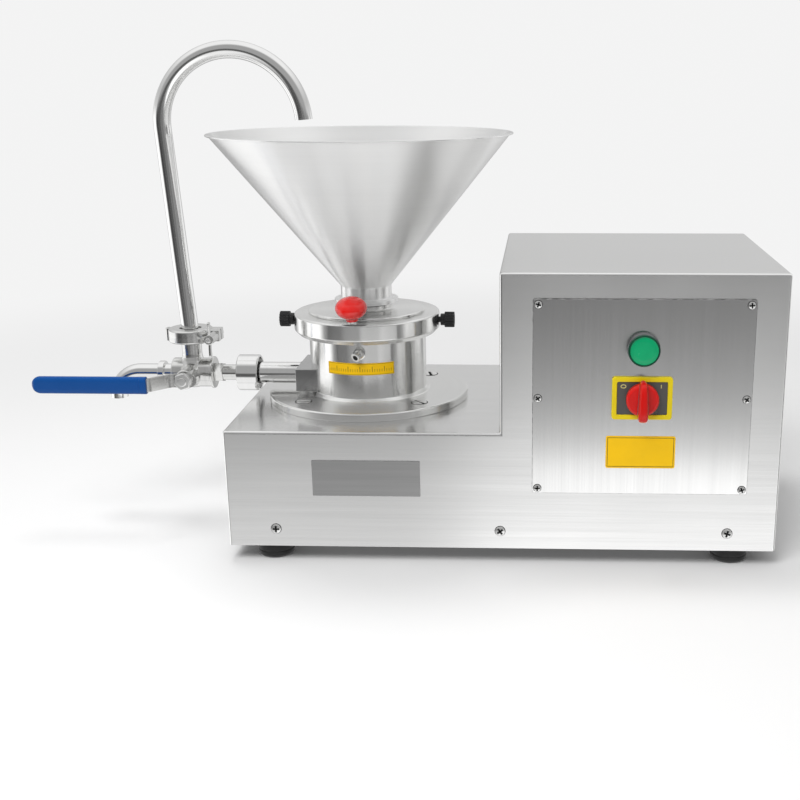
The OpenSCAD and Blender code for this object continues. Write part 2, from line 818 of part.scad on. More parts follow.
module motor_fan() color("black") {
    blade_r = fan_d / 2;
    hub_r = motor_shaft_d / 2 + 7;
    at_motor(fan_z) difference() {
        union() {
            cylinder(r = hub_r, h = fan_h);
            cylinder(r = blade_r, h = 2);
            for (i = [0:fan_blades - 1]) rotate(i * 360 / fan_blades)
                translate([hub_r - 1, -1, 0]) cube([blade_r - hub_r - 1, 2, fan_h]);
        }
        translate([0, 0, -eps]) cylinder(d = motor_shaft_d + 2 * seat, h = fan_h + 2 * eps);
    }
}

module fan_cover() color("dimgray") {
    wall = 1.5;
    spokes = 12;
    at_motor(barrel_top) difference() {
        cylinder(d = motor_d, h = fan_cover_h);
        translate([0, 0, -eps]) cylinder(d = motor_d - 2 * wall, h = fan_cover_h - wall + eps);
        for (i = [0:spokes - 1]) rotate(i * 360 / spokes)
            translate([14, -3, fan_cover_h - 2 * wall]) cube([motor_d / 2 - 24, 6, 4 * wall]);
    }
}

module terminal_box() color("steelblue") {
    reach = motor_d / 2 + fin_h;
    at_motor(barrel_z + (motor_len - terminal_h) / 2)
        translate([reach, -terminal_w / 2, 0]) cube([terminal_depth, terminal_w, terminal_h]);
}

// ---- Belt drive ----

// The half section of a grooved pulley: hub, groove and rims, around z = 0.
module pulley(pitch_d, bore_d) {
    r_out = pitch_d / 2 + belt_pitch_depth;
    r_bed = r_out - groove_depth;
    half_top = belt_w / 2 + gap;
    half_bed = half_top - groove_depth * groove_slope;
    rotate_extrude() polygon([
        [bore_d / 2, -pulley_half], [r_out, -pulley_half], [r_out, -half_top],
        [r_bed, -half_bed], [r_bed, half_bed], [r_out, half_top],
        [r_out, pulley_half], [bore_d / 2, pulley_half]
    ]);
}

module drive_pulley() color("dimgray")
    at_motor(belt_z) pulley(drive_pitch_d, motor_shaft_d + 2 * seat);

module driven_pulley() color("dimgray")
    at_head(belt_z) pulley(driven_pitch_d, spindle_d + 2 * seat);

// The belt's wedge section, its outer face at x = r.
module belt_section(r) {
    half_in = belt_w / 2 - belt_t * groove_slope;
    polygon([[r, -belt_w / 2], [r, belt_w / 2], [r - belt_t, half_in], [r - belt_t, -half_in]]);
}

// Two arcs around the pulleys and the two straight runs between them.
module drive_belt() color("black") {
    r_drive = drive_pitch_d / 2 + belt_pitch_depth;
    r_driven = driven_pitch_d / 2 + belt_pitch_depth;
    run = belt_centres * cos(belt_lean) + 2 * lap;
    at_motor(belt_z) rotate(-90 - belt_lean)
        rotate_extrude(angle = 180 + 2 * belt_lean) belt_section(r_drive);
    at_head(belt_z) rotate(90 + belt_lean)
        rotate_extrude(angle = 180 - 2 * belt_lean) belt_section(r_driven);
    for (side = [-1, 1]) at_head(belt_z) scale([1, side, 1])
        rotate(belt_lean) translate([-lap, 0, 0]) rotate([90, 0, 90])
            linear_extrude(run) belt_section(r_driven);
}

// ---- Spindle ----

module spindle() color("silver") {
    at_head(spindle_foot) cylinder(d = spindle_d, h = sweep_z - spindle_foot);
    at_head(sweep_z - eps) cylinder(d = nose_d, h = rotor_top + rotor_nut_h - 2 - sweep_z + eps);
}

module spindle_nut() color("gray") {
    at_head(belt_z - pulley_half - nut_t) difference() {
        cylinder(d = 1.6 * spindle_d, h = nut_t, $fn = 6);
        translate([0, 0, -eps]) cylinder(d = spindle_d + 2 * seat, h = nut_t + 2 * eps);
    }
}

module bearing_housing() color("slategray") {
    at_head(0) difference() {
        union() {
            translate([0, 0, bearing_bottom])
                cylinder(d = bearing_tube_d, h = bearing_tube_len - eps);
            translate([0, 0, deck_under - bearing_flange_t])
                cylinder(d = bolt_circle + 3 * flange_bolt_d, h = bearing_flange_t);
            translate([0, 0, deck_under - eps])
                cylinder(d = pilot_d, h = pilot_top - deck_under + eps);
        }
        translate([0, 0, bearing_bottom - eps])
            cylinder(d = spindle_d + 4, h = 2 * bearing_tube_len);
        translate([0, 0, lower_bearing_z])
            cylinder(d = bearing_d + 2 * seat, h = pilot_top - lower_bearing_z + eps);
        translate([0, 0, deck_under - bearing_flange_t - eps]) at_flange_bolts()
            cylinder(d = flange_bolt_d + 2 * seat, h = bearing_flange_t + 2 * eps);
    }
}

// Two closed bearings and the sleeve that keeps them apart.
module spindle_bearings() color("lightsteelblue") {
    for (z = [lower_bearing_z, upper_bearing_z])
        at_head(z) tube(bearing_d, spindle_d + 2 * run_fit, bearing_w);
    at_head(lower_bearing_z + bearing_w)
        tube(bearing_d, bearing_d - 8, upper_bearing_z - lower_bearing_z - bearing_w);
}

module shaft_seal() color("black")
    at_head(seal_z) tube(bearing_d, spindle_d + 2 * run_fit, seal_t);

// ---- Mill ----

module mill_body() color("silver") {
    edge = 1;
    fillet = 3;
    r_fl = flange_d / 2;
    r_out = mill_d / 2;
    r_neck = mill_neck_d / 2;
    r_in = chamber_d / 2;
    at_head(0) difference() {
        union() {
            rotate_extrude() polygon([
                [0, deck_z], [r_fl, deck_z], [r_fl, flange_top - edge], [r_fl - edge, flange_top],
                [r_out + fillet, flange_top], [r_out, flange_top + fillet],
                [r_out, mill_top], [r_neck, mill_top], [r_neck, neck_top], [0, neck_top]
            ]);
            translate([-outlet_block_reach, -outlet_block_w / 2, outlet_z - outlet_block_h / 2])
                cube([outlet_block_reach - r_in - 2, outlet_block_w, outlet_block_h]);
        }
        translate([0, 0, chamber_z]) cylinder(r = r_in, h = neck_top - chamber_z + eps);
        translate([0, 0, deck_z - eps]) cylinder(d = spindle_d + 4, h = chamber_z - deck_z + 2 * eps);
        translate([0, 0, deck_z - eps])
            cylinder(d = pilot_d + 2 * seat, h = pilot_depth + seat + eps);
        translate([0, 0, outlet_z]) to_left()
            cylinder(d = outlet_bore, h = outlet_block_reach + eps);
        translate([0, 0, deck_z - eps]) at_flange_bolts()
            cylinder(d = flange_bolt_d + 2 * seat, h = flange_t + 2 * eps);
        translate([0, 0, flange_top - 2]) at_flange_bolts()
            cylinder(d = flange_bolt_head + 2 * seat, h = 2 + eps);
        rotate(-90) translate([r_in - 3, 0, nipple_z()]) to_right()
            cylinder(d = nipple_d + 2 * seat, h = r_out - r_in + 10);
    }
}

// The nipple leaves the body between the scale band and the ring.
function nipple_z() = (deck_z + band_rise + band_h + mill_top) / 2;

// Slotted low-head bolts through flange, deck and bearing housing.
module flange_bolts() color("gainsboro") {
    at_head(flange_top - 2) at_flange_bolts() rotate(30) difference() {
        union() {
            cylinder(d = flange_bolt_head, h = 3);
            translate([0, 0, 2 - flange_t - sheet - bearing_flange_t])
                cylinder(d = flange_bolt_d, h = flange_t + sheet + bearing_flange_t);
        }
        translate([-flange_bolt_head, -1, 1.6]) cube([2 * flange_bolt_head, 2, 2]);
    }
}

// Hose nipple of the cooling jacket: a straight root, a collar and a turned-down mouth.
module cooling_nipple() color("silver") {
    root = (mill_d - chamber_d) / 2;
    at_head(nipple_z()) rotate(-90) translate([chamber_d / 2, 0, 0]) difference() {
        union() {
            to_right() cylinder(d = nipple_d, h = root + 1);
            translate([root + 0.2, 0, 0]) to_right() cylinder(d = nipple_d + 3, h = 2.5);
            translate([root + 2.5, 0, 0]) sphere(d = nipple_d + 1);
            translate([root + 2.5, 0, 0]) rotate([25, 115, 0]) cylinder(d = nipple_d, h = nipple_len);
        }
        translate([root + 2.5, 0, 0]) rotate([25, 115, 0])
            cylinder(d = nipple_d * 0.6, h = nipple_len + 2 * eps);
    }
}

// A plain graduated band around the front of the body.
module scale_band() color("gold") {
    r = mill_d / 2 + seat;
    at_head(deck_z + band_rise) rotate(-90 - band_half_arc)
        rotate_extrude(angle = 2 * band_half_arc) translate([r, 0]) square([label_t, band_h]);
}

// ---- Grinding set ----

module rotor() color("silver") {
    r_foot = rotor_foot_d / 2;
    r_top = rotor_top_d / 2;
    r_sweep = chamber_d / 2 - 4;
    tooth_depth = 1.2;
    at_head(0) difference() {
        rotate_extrude() polygon([
            [nose_d / 2 + seat, sweep_z], [r_sweep, sweep_z], [r_sweep, sweep_z + sweep_t / 2],
            [r_foot, sweep_z + sweep_t / 2], [r_foot, cone_z], [r_top, rotor_top],
            [nose_d / 2 + seat, rotor_top]
        ]);
        for (i = [0:rotor_teeth - 1]) rotate(i * 360 / rotor_teeth)
            translate([r_top - tooth_depth, -1.2, rotor_top - rotor_h * 0.3])
                cube([r_top, 2.4, rotor_h]);
    }
}

module rotor_nut() color("gray") {
    at_head(rotor_top) difference() {
        union() {
            cylinder(d = nose_d + 10, h = rotor_nut_h - 2, $fn = 6);
            cylinder(d = nose_d + 6, h = rotor_nut_h);
        }
        translate([0, 0, -eps]) cylinder(d = nose_d + 2 * seat, h = rotor_nut_h + 2 * eps);
    }
}

// The fixed stone: its bore follows the rotor's cone at the grinding gap.
module stator() color("silver") {
    r_foot = rotor_foot_d / 2 + grind_gap;
    r_top = rotor_top_d / 2 + grind_gap;
    foot_z = cone_z + gap;
    drop = foot_z - cone_z;
    r_mouth = r_foot - (r_foot - r_top) * drop / rotor_h;
    at_head(0) rotate_extrude() polygon([
        [r_mouth, foot_z], [stator_d / 2, foot_z], [stator_d / 2, plate_z],
        [feed_d / 2, plate_z], [feed_d / 2, rotor_top + 2], [r_top, rotor_top]
    ]);
}

module adjusting_ring() color("silver") {
    r = ring_d / 2;
    edge = 1.5;
    at_head(0) difference() {
        rotate_extrude() polygon([
            [mill_neck_d / 2 + run_fit, ring_z], [r - ring_chamfer, ring_z],
            [r, ring_z + ring_chamfer], [r, ring_top - edge], [r - edge, ring_top],
            [feed_d / 2, ring_top], [feed_d / 2, plate_z], [mill_neck_d / 2 + run_fit, plate_z]
        ]);
        for (side = [-1, 1]) translate([side * r, 0, lock_z]) to_right()
            cylinder(d = lock_stud_d + 2 * run_fit, h = ring_d - mill_neck_d, center = true);
        translate([0, 0, ring_top]) on_stud()
            cylinder(d = stud_d + 2 * seat, h = 8 + 2 * seat, center = true);
    }
}

module ring_cover() color("silver") {
    edge = 0.8;
    at_head(0) rotate_extrude() polygon([
        [spigot_d / 2 + seat, ring_top], [cover_d / 2, ring_top],
        [cover_d / 2, cover_top - edge], [cover_d / 2 - edge, cover_top],
        [boss_d / 2, cover_top], [boss_d / 2, boss_top], [spigot_d / 2 + seat, boss_top]
    ]);
}

module on_stud() rotate(-stud_turn) translate([0, -ball_seat_r, 0]) rotate([stud_lean, 0, 0])
    children();

module at_stud() at_head(ring_top) on_stud() children();

module adjusting_stud() color("gainsboro")
    at_stud() translate([0, 0, -4]) cylinder(d = stud_d, h = ball_rise + 4);

// A flattened ball on a short collar.
module adjusting_knob() color("red") {
    at_stud() difference() {
        union() {
            translate([0, 0, ball_rise]) rotate_extrude() intersection() {
                scale([ball_w / 2, ball_h / 2]) circle(r = 1);
                translate([0, -ball_h]) square([ball_w, 2 * ball_h]);
            }
            translate([0, 0, ball_rise - ball_h / 2 - 1]) cylinder(d = stud_d + 4, h = 4);
        }
        translate([0, 0, -eps]) cylinder(d = stud_d + 2 * seat, h = ball_rise + seat + eps);
    }
}

// A lock screw along +X from the ring's outer face: stud, collar and ribbed knob.
module lock_screw() {
    stud_out = 1.5;
    collar = lock_knob_len * 0.3;
    reach = (ring_d - mill_neck_d) / 2 - gap;
    ribs = 16;
    translate([-reach, 0, 0]) to_right() cylinder(d = lock_stud_d, h = reach + stud_out + 1);
    translate([stud_out, 0, 0]) to_right() cylinder(d = lock_knob_d * 0.75, h = collar + 1);
    translate([stud_out + collar, 0, 0]) to_right() difference() {
        cylinder(d = lock_knob_d, h = lock_knob_len - collar);
        for (i = [0:ribs - 1]) rotate(i * 360 / ribs) translate([lock_knob_d / 2, 0, -eps])
            cylinder(d = 1.2, h = lock_knob_len, $fn = 24);
    }
}

module lock_screw_right() color("black")
    at_head(lock_z) translate([ring_d / 2, 0, 0]) lock_screw();

module lock_screw_left() color("black")
    at_head(lock_z) rotate(180) translate([ring_d / 2, 0, 0]) lock_screw();

// ---- Hopper ----

module hopper() color("gainsboro") {
    r_neck = hopper_neck_d / 2;
    r_fl = hopper_flange_d / 2;
    r_sp = spigot_d / 2;
    r_rim = rim_d / 2;
    r_lip = r_rim - lip_w;
    lip_t = hopper_wall;
    at_head(0) rotate_extrude() polygon([
        [r_sp - spigot_wall, ring_top], [r_sp, ring_top], [r_sp, hopper_base],
        [r_fl, hopper_base], [r_fl, hopper_neck_z], [r_neck, hopper_neck_z],
        [r_neck, cone_base], [r_lip, rim_z - lip_t], [r_rim, rim_z - lip_t], [r_rim, rim_z],
        [r_lip - hopper_wall, rim_z], [r_neck - hopper_wall, cone_base],
        [r_neck - hopper_wall, hopper_neck_z], [r_sp - spigot_wall, hopper_base]
    ]);
}

module hopper_gasket() color("black")
    at_head(boss_top) tube(boss_d - 2, spigot_d + 2 * seat, gasket_t);

// ---- Pipework ----

module outlet_pipe() color("silver") {
    ferrule = union_d - 8;
    translate([block_x, 0, outlet_z]) to_left() difference() {
        union() {
            cylinder(d = outlet_pipe_d, h = outlet_pipe_len + union_len / 2 - seat);
            translate([0, 0, outlet_pipe_len + union_len / 2 - 3])
                cylinder(d = ferrule, h = 3 - seat);
        }
        translate([0, 0, -eps]) cylinder(d = outlet_bore, h = outlet_pipe_len + union_len);
    }
}

// Union ring: a cup that is open towards the mill and screws onto the valve's tail.
module union_ring() color("silver") {
    ferrule = union_d - 8;
    translate([union_right, 0, outlet_z]) to_left() difference() {
        cylinder(d = union_d, h = union_len);
        translate([0, 0, -eps]) cylinder(d = union_d - 5, h = 5 + eps);
        translate([0, 0, -eps]) cylinder(d = outlet_pipe_d + 2 * seat, h = 2 * union_len);
        translate([0, 0, union_len / 2 - 3 - seat])
            cylinder(d = ferrule + 2 * seat, h = union_len);
    }
}

// The valve's casting: barrel, tail with its hexagon, left collar, top port and stem boss.
module valve_body() color("silver") {
    tail_d = valve_bore + 4;
    hex_d = 21;
    disc_d = 33;
    at_valve() difference() {
        union() {
            translate([-valve_half, 0, 0]) to_right() cylinder(d = valve_d, h = 2 * valve_half);
            sphere(d = valve_d + 2);
            translate([valve_half - eps, 0, 0]) to_right() cylinder(d = disc_d, h = 3 + eps);
            translate([valve_half + 3 - eps, 0, 0]) to_right()
                cylinder(d = hex_d, h = 9 + eps, $fn = 6);
            translate([valve_half, 0, 0]) to_right()
                cylinder(d = tail_d, h = valve_reach - valve_half + eps);
            translate([valve_reach, 0, 0]) to_right()
                cylinder(d = union_d - 8, h = union_len / 2 - seat);
            cylinder(d = pipe_d + 3, h = valve_port_h);
            translate([0, 0, valve_port_h - ferrule_t]) cylinder(d = ferrule_d, h = ferrule_t);
            to_front() cylinder(d = 20, h = stem_boss);
        }
        sphere(d = ball_valve_d + 2 * gap);
        to_right() cylinder(d = valve_bore, h = valve_reach + union_len);
        translate([-valve_half - eps, 0, 0]) to_right() cylinder(d = valve_bore, h = valve_half);
        cylinder(d = valve_bore, h = valve_port_h + eps);
        to_front() cylinder(d = stem_d + 2 * run_fit, h = stem_boss + eps);
    }
}

// Ball with a T-shaped port: across, and up.
module valve_ball() color("gainsboro") {
    at_valve() difference() {
        sphere(d = ball_valve_d);
        to_right() cylinder(d = valve_bore, h = ball_valve_d + 2, center = true);
        cylinder(d = valve_bore, h = ball_valve_d);
        translate([0, -ball_valve_d / 2 + 3, 0]) to_front() cylinder(d = stem_d + 2 * seat, h = 6);
    }
}

// Stem with the hexagon nut that holds the handle.
module valve_stem() color("gainsboro") {
    nut_y = handle_back - handle_t;
    at_valve() {
        translate([0, -ball_valve_d / 2 + 3 - seat, 0]) to_front()
            cylinder(d = stem_d, h = -nut_y + nut_t + 2 - ball_valve_d / 2 + 3);
        translate([0, nut_y - seat, 0]) to_front() cylinder(d = 2 * stem_d, h = nut_t, $fn = 6);
    }
}

// The handle's strip seen from above: along the stem's plate, out by the step, and on. Its front
// line is shifted so that the slanted part is as thick as the rest.
module handle_strip(x_end) {
    b = handle_back;
    t = handle_t;
    s = handle_step;
    shift = t * tan(atan2(s, handle_bend_end - handle_bend_start) / 2);
    polygon([
        [13, b], [-handle_bend_start, b], [-handle_bend_end, b - s], [x_end, b - s],
        [x_end, b - s - t], [shift - handle_bend_end, b - s - t], [shift - handle_bend_start, b - t],
        [13, b - t]
    ]);
}

module valve_handle() color("silver") {
    tip = -handle_len + 8;
    at_valve() difference() {
        translate([0, 0, -handle_w / 2]) linear_extrude(handle_w) handle_strip(tip);
        translate([0, handle_back, 0]) to_front()
            cylinder(d = stem_d + 2 * seat, h = 4 * handle_t, center = true);
    }
}

// Dipped grip around the strip, with a round tip and a thicker collar.
module handle_grip() color("royalblue") {
    r = grip_h / 2;
    flat = r - grip_t / 2;
    collar = 7;
    at_valve() translate([-handle_len, grip_y, 0]) difference() {
        union() {
            intersection() {
                union() {
                    for (s = [-1, 1]) translate([0, 0, s * flat]) to_right()
                        cylinder(d = grip_t, h = grip_len);
                    translate([0, -grip_t / 2, -flat]) cube([grip_len, grip_t, 2 * flat]);
                }
                union() {
                    translate([r, 0, 0]) to_front() cylinder(r = r, h = 2 * grip_t, center = true);
                    translate([r, -grip_t, -r]) cube([grip_len - r, 2 * grip_t, grip_h]);
                }
            }
            translate([grip_len - collar, -grip_t / 2 - 0.8, -r + 0.4])
                cube([collar, grip_t + 1.6, grip_h - 0.8]);
        }
        translate([8 - seat, -handle_t / 2 - seat, -handle_w / 2 - seat])
            cube([grip_len, handle_t + 2 * seat, handle_w + 2 * seat]);
    }
}

// A bend of pipe in the XZ plane that starts at +X and turns towards +Z.
module pipe_bend(r, turn, bore) {
    rotate([90, 0, 0]) rotate_extrude(angle = turn) translate([r, 0]) difference() {
        circle(d = pipe_d);
        circle(d = bore);
    }
}

module discharge_spout() color("silver") {
    collar_w = 6;
    bend_x = spout_x - spout_run;
    translate([spout_x - collar_gap, 0, outlet_z]) to_left()
        tube(pipe_d + 6, pipe_bore, collar_w);
    translate([spout_x, 0, outlet_z]) to_left() tube(pipe_d, pipe_bore, spout_run);
    translate([bend_x, 0, outlet_z - spout_bend]) rotate([0, -90, 0])
        pipe_bend(spout_bend, 90, pipe_bore);
    translate([bend_x - spout_bend, 0, outlet_z - spout_bend - spout_drop])
        tube(pipe_d, pipe_bore, spout_drop);
}

// Ferrule, leaning riser and the arch that turns down into the hopper.
module return_pipe() color("silver") {
    root = 1;
    translate([valve_x, 0, pipe_ferrule_z]) rotate([0, -riser_lean, 0]) difference() {
        union() {
            rotate([0, riser_lean, 0]) cylinder(d = ferrule_d, h = ferrule_t);
            translate([0, 0, root]) cylinder(d = pipe_d, h = riser_len);
            translate([arch_r, 0, riser_len + root]) rotate([90, 0, 180])
                rotate_extrude(angle = arch_turn) translate([arch_r, 0]) circle(d = pipe_d);
        }
        translate([0, 0, -2 * root]) cylinder(d = pipe_bore, h = riser_len + 3 * root);
        translate([arch_r, 0, riser_len + root]) rotate([90, 0, 180])
            rotate_extrude(angle = arch_turn + 1) translate([arch_r, 0]) circle(d = pipe_bore);
    }
}

// Two half rings round both ferrules, hinged at the left, with bolt lugs at the right.
module pipe_clamp() color("silver") {
    slit = 1.5;
    groove = 2 * ferrule_t + gap + 2 * seat;
    translate([valve_x, 0, clamp_z]) difference() {
        union() {
            cylinder(d = clamp_d, h = clamp_h);
            translate([clamp_d / 2 - 3, -lug_w / 2, 1])
                cube([clamp_bolt_reach - clamp_d / 2 + 8, lug_w, clamp_h - 2]);
            translate([-clamp_d / 2, 0, 0]) cylinder(d = 7, h = clamp_h);
        }
        translate([0, 0, -eps]) cylinder(d = clamp_lip_d, h = clamp_h + 2 * eps);
        translate([0, 0, (clamp_h - groove) / 2]) cylinder(d = ferrule_d + 2 * run_fit, h = groove);
        translate([0, -slit / 2, -eps]) cube([clamp_d, slit, clamp_h + 2 * eps]);
        translate([clamp_bolt_reach, 0, clamp_h / 2]) to_front()
            cylinder(d = 5 + 2 * seat, h = 3 * lug_w, center = true);
    }
}

module clamp_bolt() color("gainsboro") {
    translate([clamp_bolt_x, lug_w / 2, clamp_z + clamp_h / 2]) {
        to_front() cylinder(d = 5, h = lug_w / 2 + wing_start + wing_len + 3);
        to_back() cylinder(d = 9, h = 3);
    }
}

// A long nut whose wings stand in front of the clamp, so that they turn clear of it.
module clamp_wing_nut() color("silver") {
    boss = wing_start + wing_len - lug_w / 2 - gap;
    translate([clamp_bolt_x, -lug_w / 2 - gap, clamp_z + clamp_h / 2]) difference() {
        union() {
            to_front() cylinder(d = wing_boss_d, h = boss);
            for (s = [-1, 1]) translate([-1.2, -boss, s > 0 ? 3 : -wing_span / 2])
                cube([2.4, wing_len, wing_span / 2 - 3]);
        }
        to_front() cylinder(d = 5 + 2 * run_fit, h = 4 * boss, center = true);
    }
}

from_foot() housing_shell();
from_foot() base_tray();
from_foot() tray_screws();
from_foot() feet();
from_foot() control_panel();
from_foot() back_cover();
from_foot() cover_screws();
from_foot() nameplate();
from_foot() panel_label();
from_foot() cable_gland();
from_foot() button_bezel();
from_foot() button_cap();
from_foot() button_block();
from_foot() switch_frame();
from_foot() switch_face();
from_foot() switch_knob();
from_foot() switch_block();
from_foot() motor_bracket();
from_foot() motor_flange();
from_foot() motor_bolts();
from_foot() motor_barrel();
from_foot() motor_shaft();
from_foot() motor_fan();
from_foot() fan_cover();
from_foot() terminal_box();
from_foot() drive_pulley();
from_foot() drive_belt();
from_foot() driven_pulley();
from_foot() spindle();
from_foot() spindle_nut();
from_foot() bearing_housing();
from_foot() spindle_bearings();
from_foot() shaft_seal();
from_foot() mill_body();
from_foot() flange_bolts();
from_foot() cooling_nipple();
from_foot() scale_band();
from_foot() rotor();
from_foot() rotor_nut();
from_foot() stator();
from_foot() adjusting_ring();
from_foot() ring_cover();
from_foot() adjusting_stud();
from_foot() adjusting_knob();
from_foot() lock_screw_left();
from_foot() lock_screw_right();
from_foot() hopper();
from_foot() hopper_gasket();
from_foot() outlet_pipe();
from_foot() union_ring();
from_foot() valve_body();
from_foot() valve_ball();
from_foot() valve_stem();
from_foot() valve_handle();
from_foot() handle_grip();
from_foot() discharge_spout();
from_foot() return_pipe();
from_foot() pipe_clamp();
from_foot() clamp_bolt();
from_foot() clamp_wing_nut();
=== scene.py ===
import json
import math

import bmesh
import bpy
import numpy as np
from mathutils import Matrix, Vector


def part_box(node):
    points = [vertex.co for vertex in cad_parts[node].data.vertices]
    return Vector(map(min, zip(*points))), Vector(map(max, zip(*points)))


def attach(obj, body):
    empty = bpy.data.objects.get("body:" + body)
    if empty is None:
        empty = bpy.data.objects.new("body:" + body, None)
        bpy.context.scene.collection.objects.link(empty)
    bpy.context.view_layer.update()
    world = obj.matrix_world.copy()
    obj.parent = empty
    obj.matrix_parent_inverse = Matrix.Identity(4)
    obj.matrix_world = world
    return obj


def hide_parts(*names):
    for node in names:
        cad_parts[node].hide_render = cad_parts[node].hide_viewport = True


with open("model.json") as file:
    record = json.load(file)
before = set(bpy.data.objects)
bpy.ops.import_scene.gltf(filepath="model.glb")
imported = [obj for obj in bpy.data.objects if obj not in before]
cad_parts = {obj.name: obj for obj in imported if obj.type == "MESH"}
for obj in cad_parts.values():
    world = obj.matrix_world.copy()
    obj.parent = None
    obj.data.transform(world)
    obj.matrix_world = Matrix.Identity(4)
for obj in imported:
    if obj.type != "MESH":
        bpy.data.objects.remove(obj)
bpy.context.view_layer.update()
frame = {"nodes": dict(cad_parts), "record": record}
record = frame["record"]
bodyOf = {n: b for b, names in record["behaviour"]["bodies"].items() for n in names}
mm = 0.001
# Everything below is written from the middle of the base's footprint; this is where that lies.
baseCentre = np.array([sum(c) / 2 for c in zip(*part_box("housing_shell"))]) / mm * (1, 1, 0)
# Half the base's depth, half the depth over the covers, and the cabinet's middle to the right.
faceAt, coverAt, cabinetX = 135, 137, 130
print("frame loaded:", len(frame["nodes"]), "nodes")


# Repeats of the uv map for each millimetre, on caps and on folded sheet, and the sharpest smooth edge.
capUv, sheetUv = 0.02, 0.01
sharpFrom = math.radians(32)

# Shapes are in millimetres. A shell is a dictionary: vertices, groups of equal-sided faces with their uv
# corners, and for each vertex its grain (across, across, along) and its edge mark, 1 on a rounded edge.


# Quads between neighbouring rows and columns; u runs with the rows, so highlights stretch that way.
def gridFaces(rows, cols, wrapRows=False, wrapCols=True):
    r = np.arange(rows if wrapRows else rows - 1)[:, None]
    c = np.arange(cols if wrapCols else cols - 1)[None, :]
    up, across = (r + 1) % rows, (c + 1) % cols
    quads = np.broadcast_arrays(r * cols + c, r * cols + across, up * cols + across, up * cols + c)
    us = np.broadcast_arrays(r + 0 * c, r + 0 * c, r + 1 + 0 * c, r + 1 + 0 * c)
    vs = np.broadcast_arrays(c + 0 * r, c + 1 + 0 * r, c + 1 + 0 * r, c + 0 * r)
    faces = np.stack(quads, -1).reshape(-1, 4)
    uvs = np.stack([np.stack(us, -1) / rows, np.stack(vs, -1) / cols], -1).reshape(-1, 4, 2)
    return faces, uvs


# Six times the volume is the sum of a . (b x c) over the triangles; if it's negative, faces turn round.
def finishShell(verts, faces, grain, edge):
    volume = 0.0
    for group, _ in faces:
        for k in range(1, group.shape[1] - 1):
            a, b, c = verts[group[:, 0]], verts[group[:, k]], verts[group[:, k + 1]]
            volume += np.einsum("ij,ij->", a, np.cross(b, c))
    if volume < 0:
        faces = [(group[:, ::-1], uv[:, ::-1]) for group, uv in faces]
    return {"verts": verts, "faces": faces, "grain": grain, "edge": edge}


# A corner P becomes (1-s)^2 A + 2s(1-s) P + s^2 B, with A and B on its two edges, a radius away.
def roundCorners(points, radius, steps=4, closed=True):
    p = np.asarray(points, float)
    back, ahead = np.roll(p, 1, 0) - p, np.roll(p, -1, 0) - p
    lenBack = np.maximum(np.linalg.norm(back, axis=1), 1e-9)
    lenAhead = np.maximum(np.linalg.norm(ahead, axis=1), 1e-9)
    reach = np.minimum(radius, 0.45 * np.minimum(lenBack, lenAhead))
    if not closed:
        reach[[0, -1]] = 0
    a = p + back * (reach / lenBack)[:, None]
    b = p + ahead * (reach / lenAhead)[:, None]
    s = np.linspace(0, 1, steps + 1)[None, :, None]
    curve = (1 - s) ** 2 * a[:, None] + 2 * s * (1 - s) * p[:, None] + s**2 * b[:, None]
    line = curve.reshape(-1, p.shape[1])
    mark = np.tile((np.arange(steps + 1) % steps != 0).astype(float), len(p))
    keep = np.linalg.norm(line - np.roll(line, 1, 0), axis=1) > 1e-5
    if not closed:
        keep[0] = True
    return line[keep], mark[keep]


def rectangle(w, h):
    return [(-w / 2, -h / 2), (w / 2, -h / 2), (w / 2, h / 2), (-w / 2, h / 2)]


# Points at (r cos t, r sin t).
def circle(r, count=32):
    t = np.linspace(0, 2 * np.pi, count, endpoint=False)
    return np.stack([r * np.cos(t), r * np.sin(t)], -1)


# Six points on a circle through the corners.
def hexagon(acrossCorners, spin=0):
    t = np.radians(spin) + np.arange(6) * np.pi / 3
    return np.stack([np.cos(t), np.sin(t)], -1) * acrossCorners / 2


# Profile of a ring between two radii and two heights; from radius 0 it's that of a rod.
def ringProfile(inner, outer, low, high):
    return [(inner, low), (outer, low), (outer, high), (inner, high)]


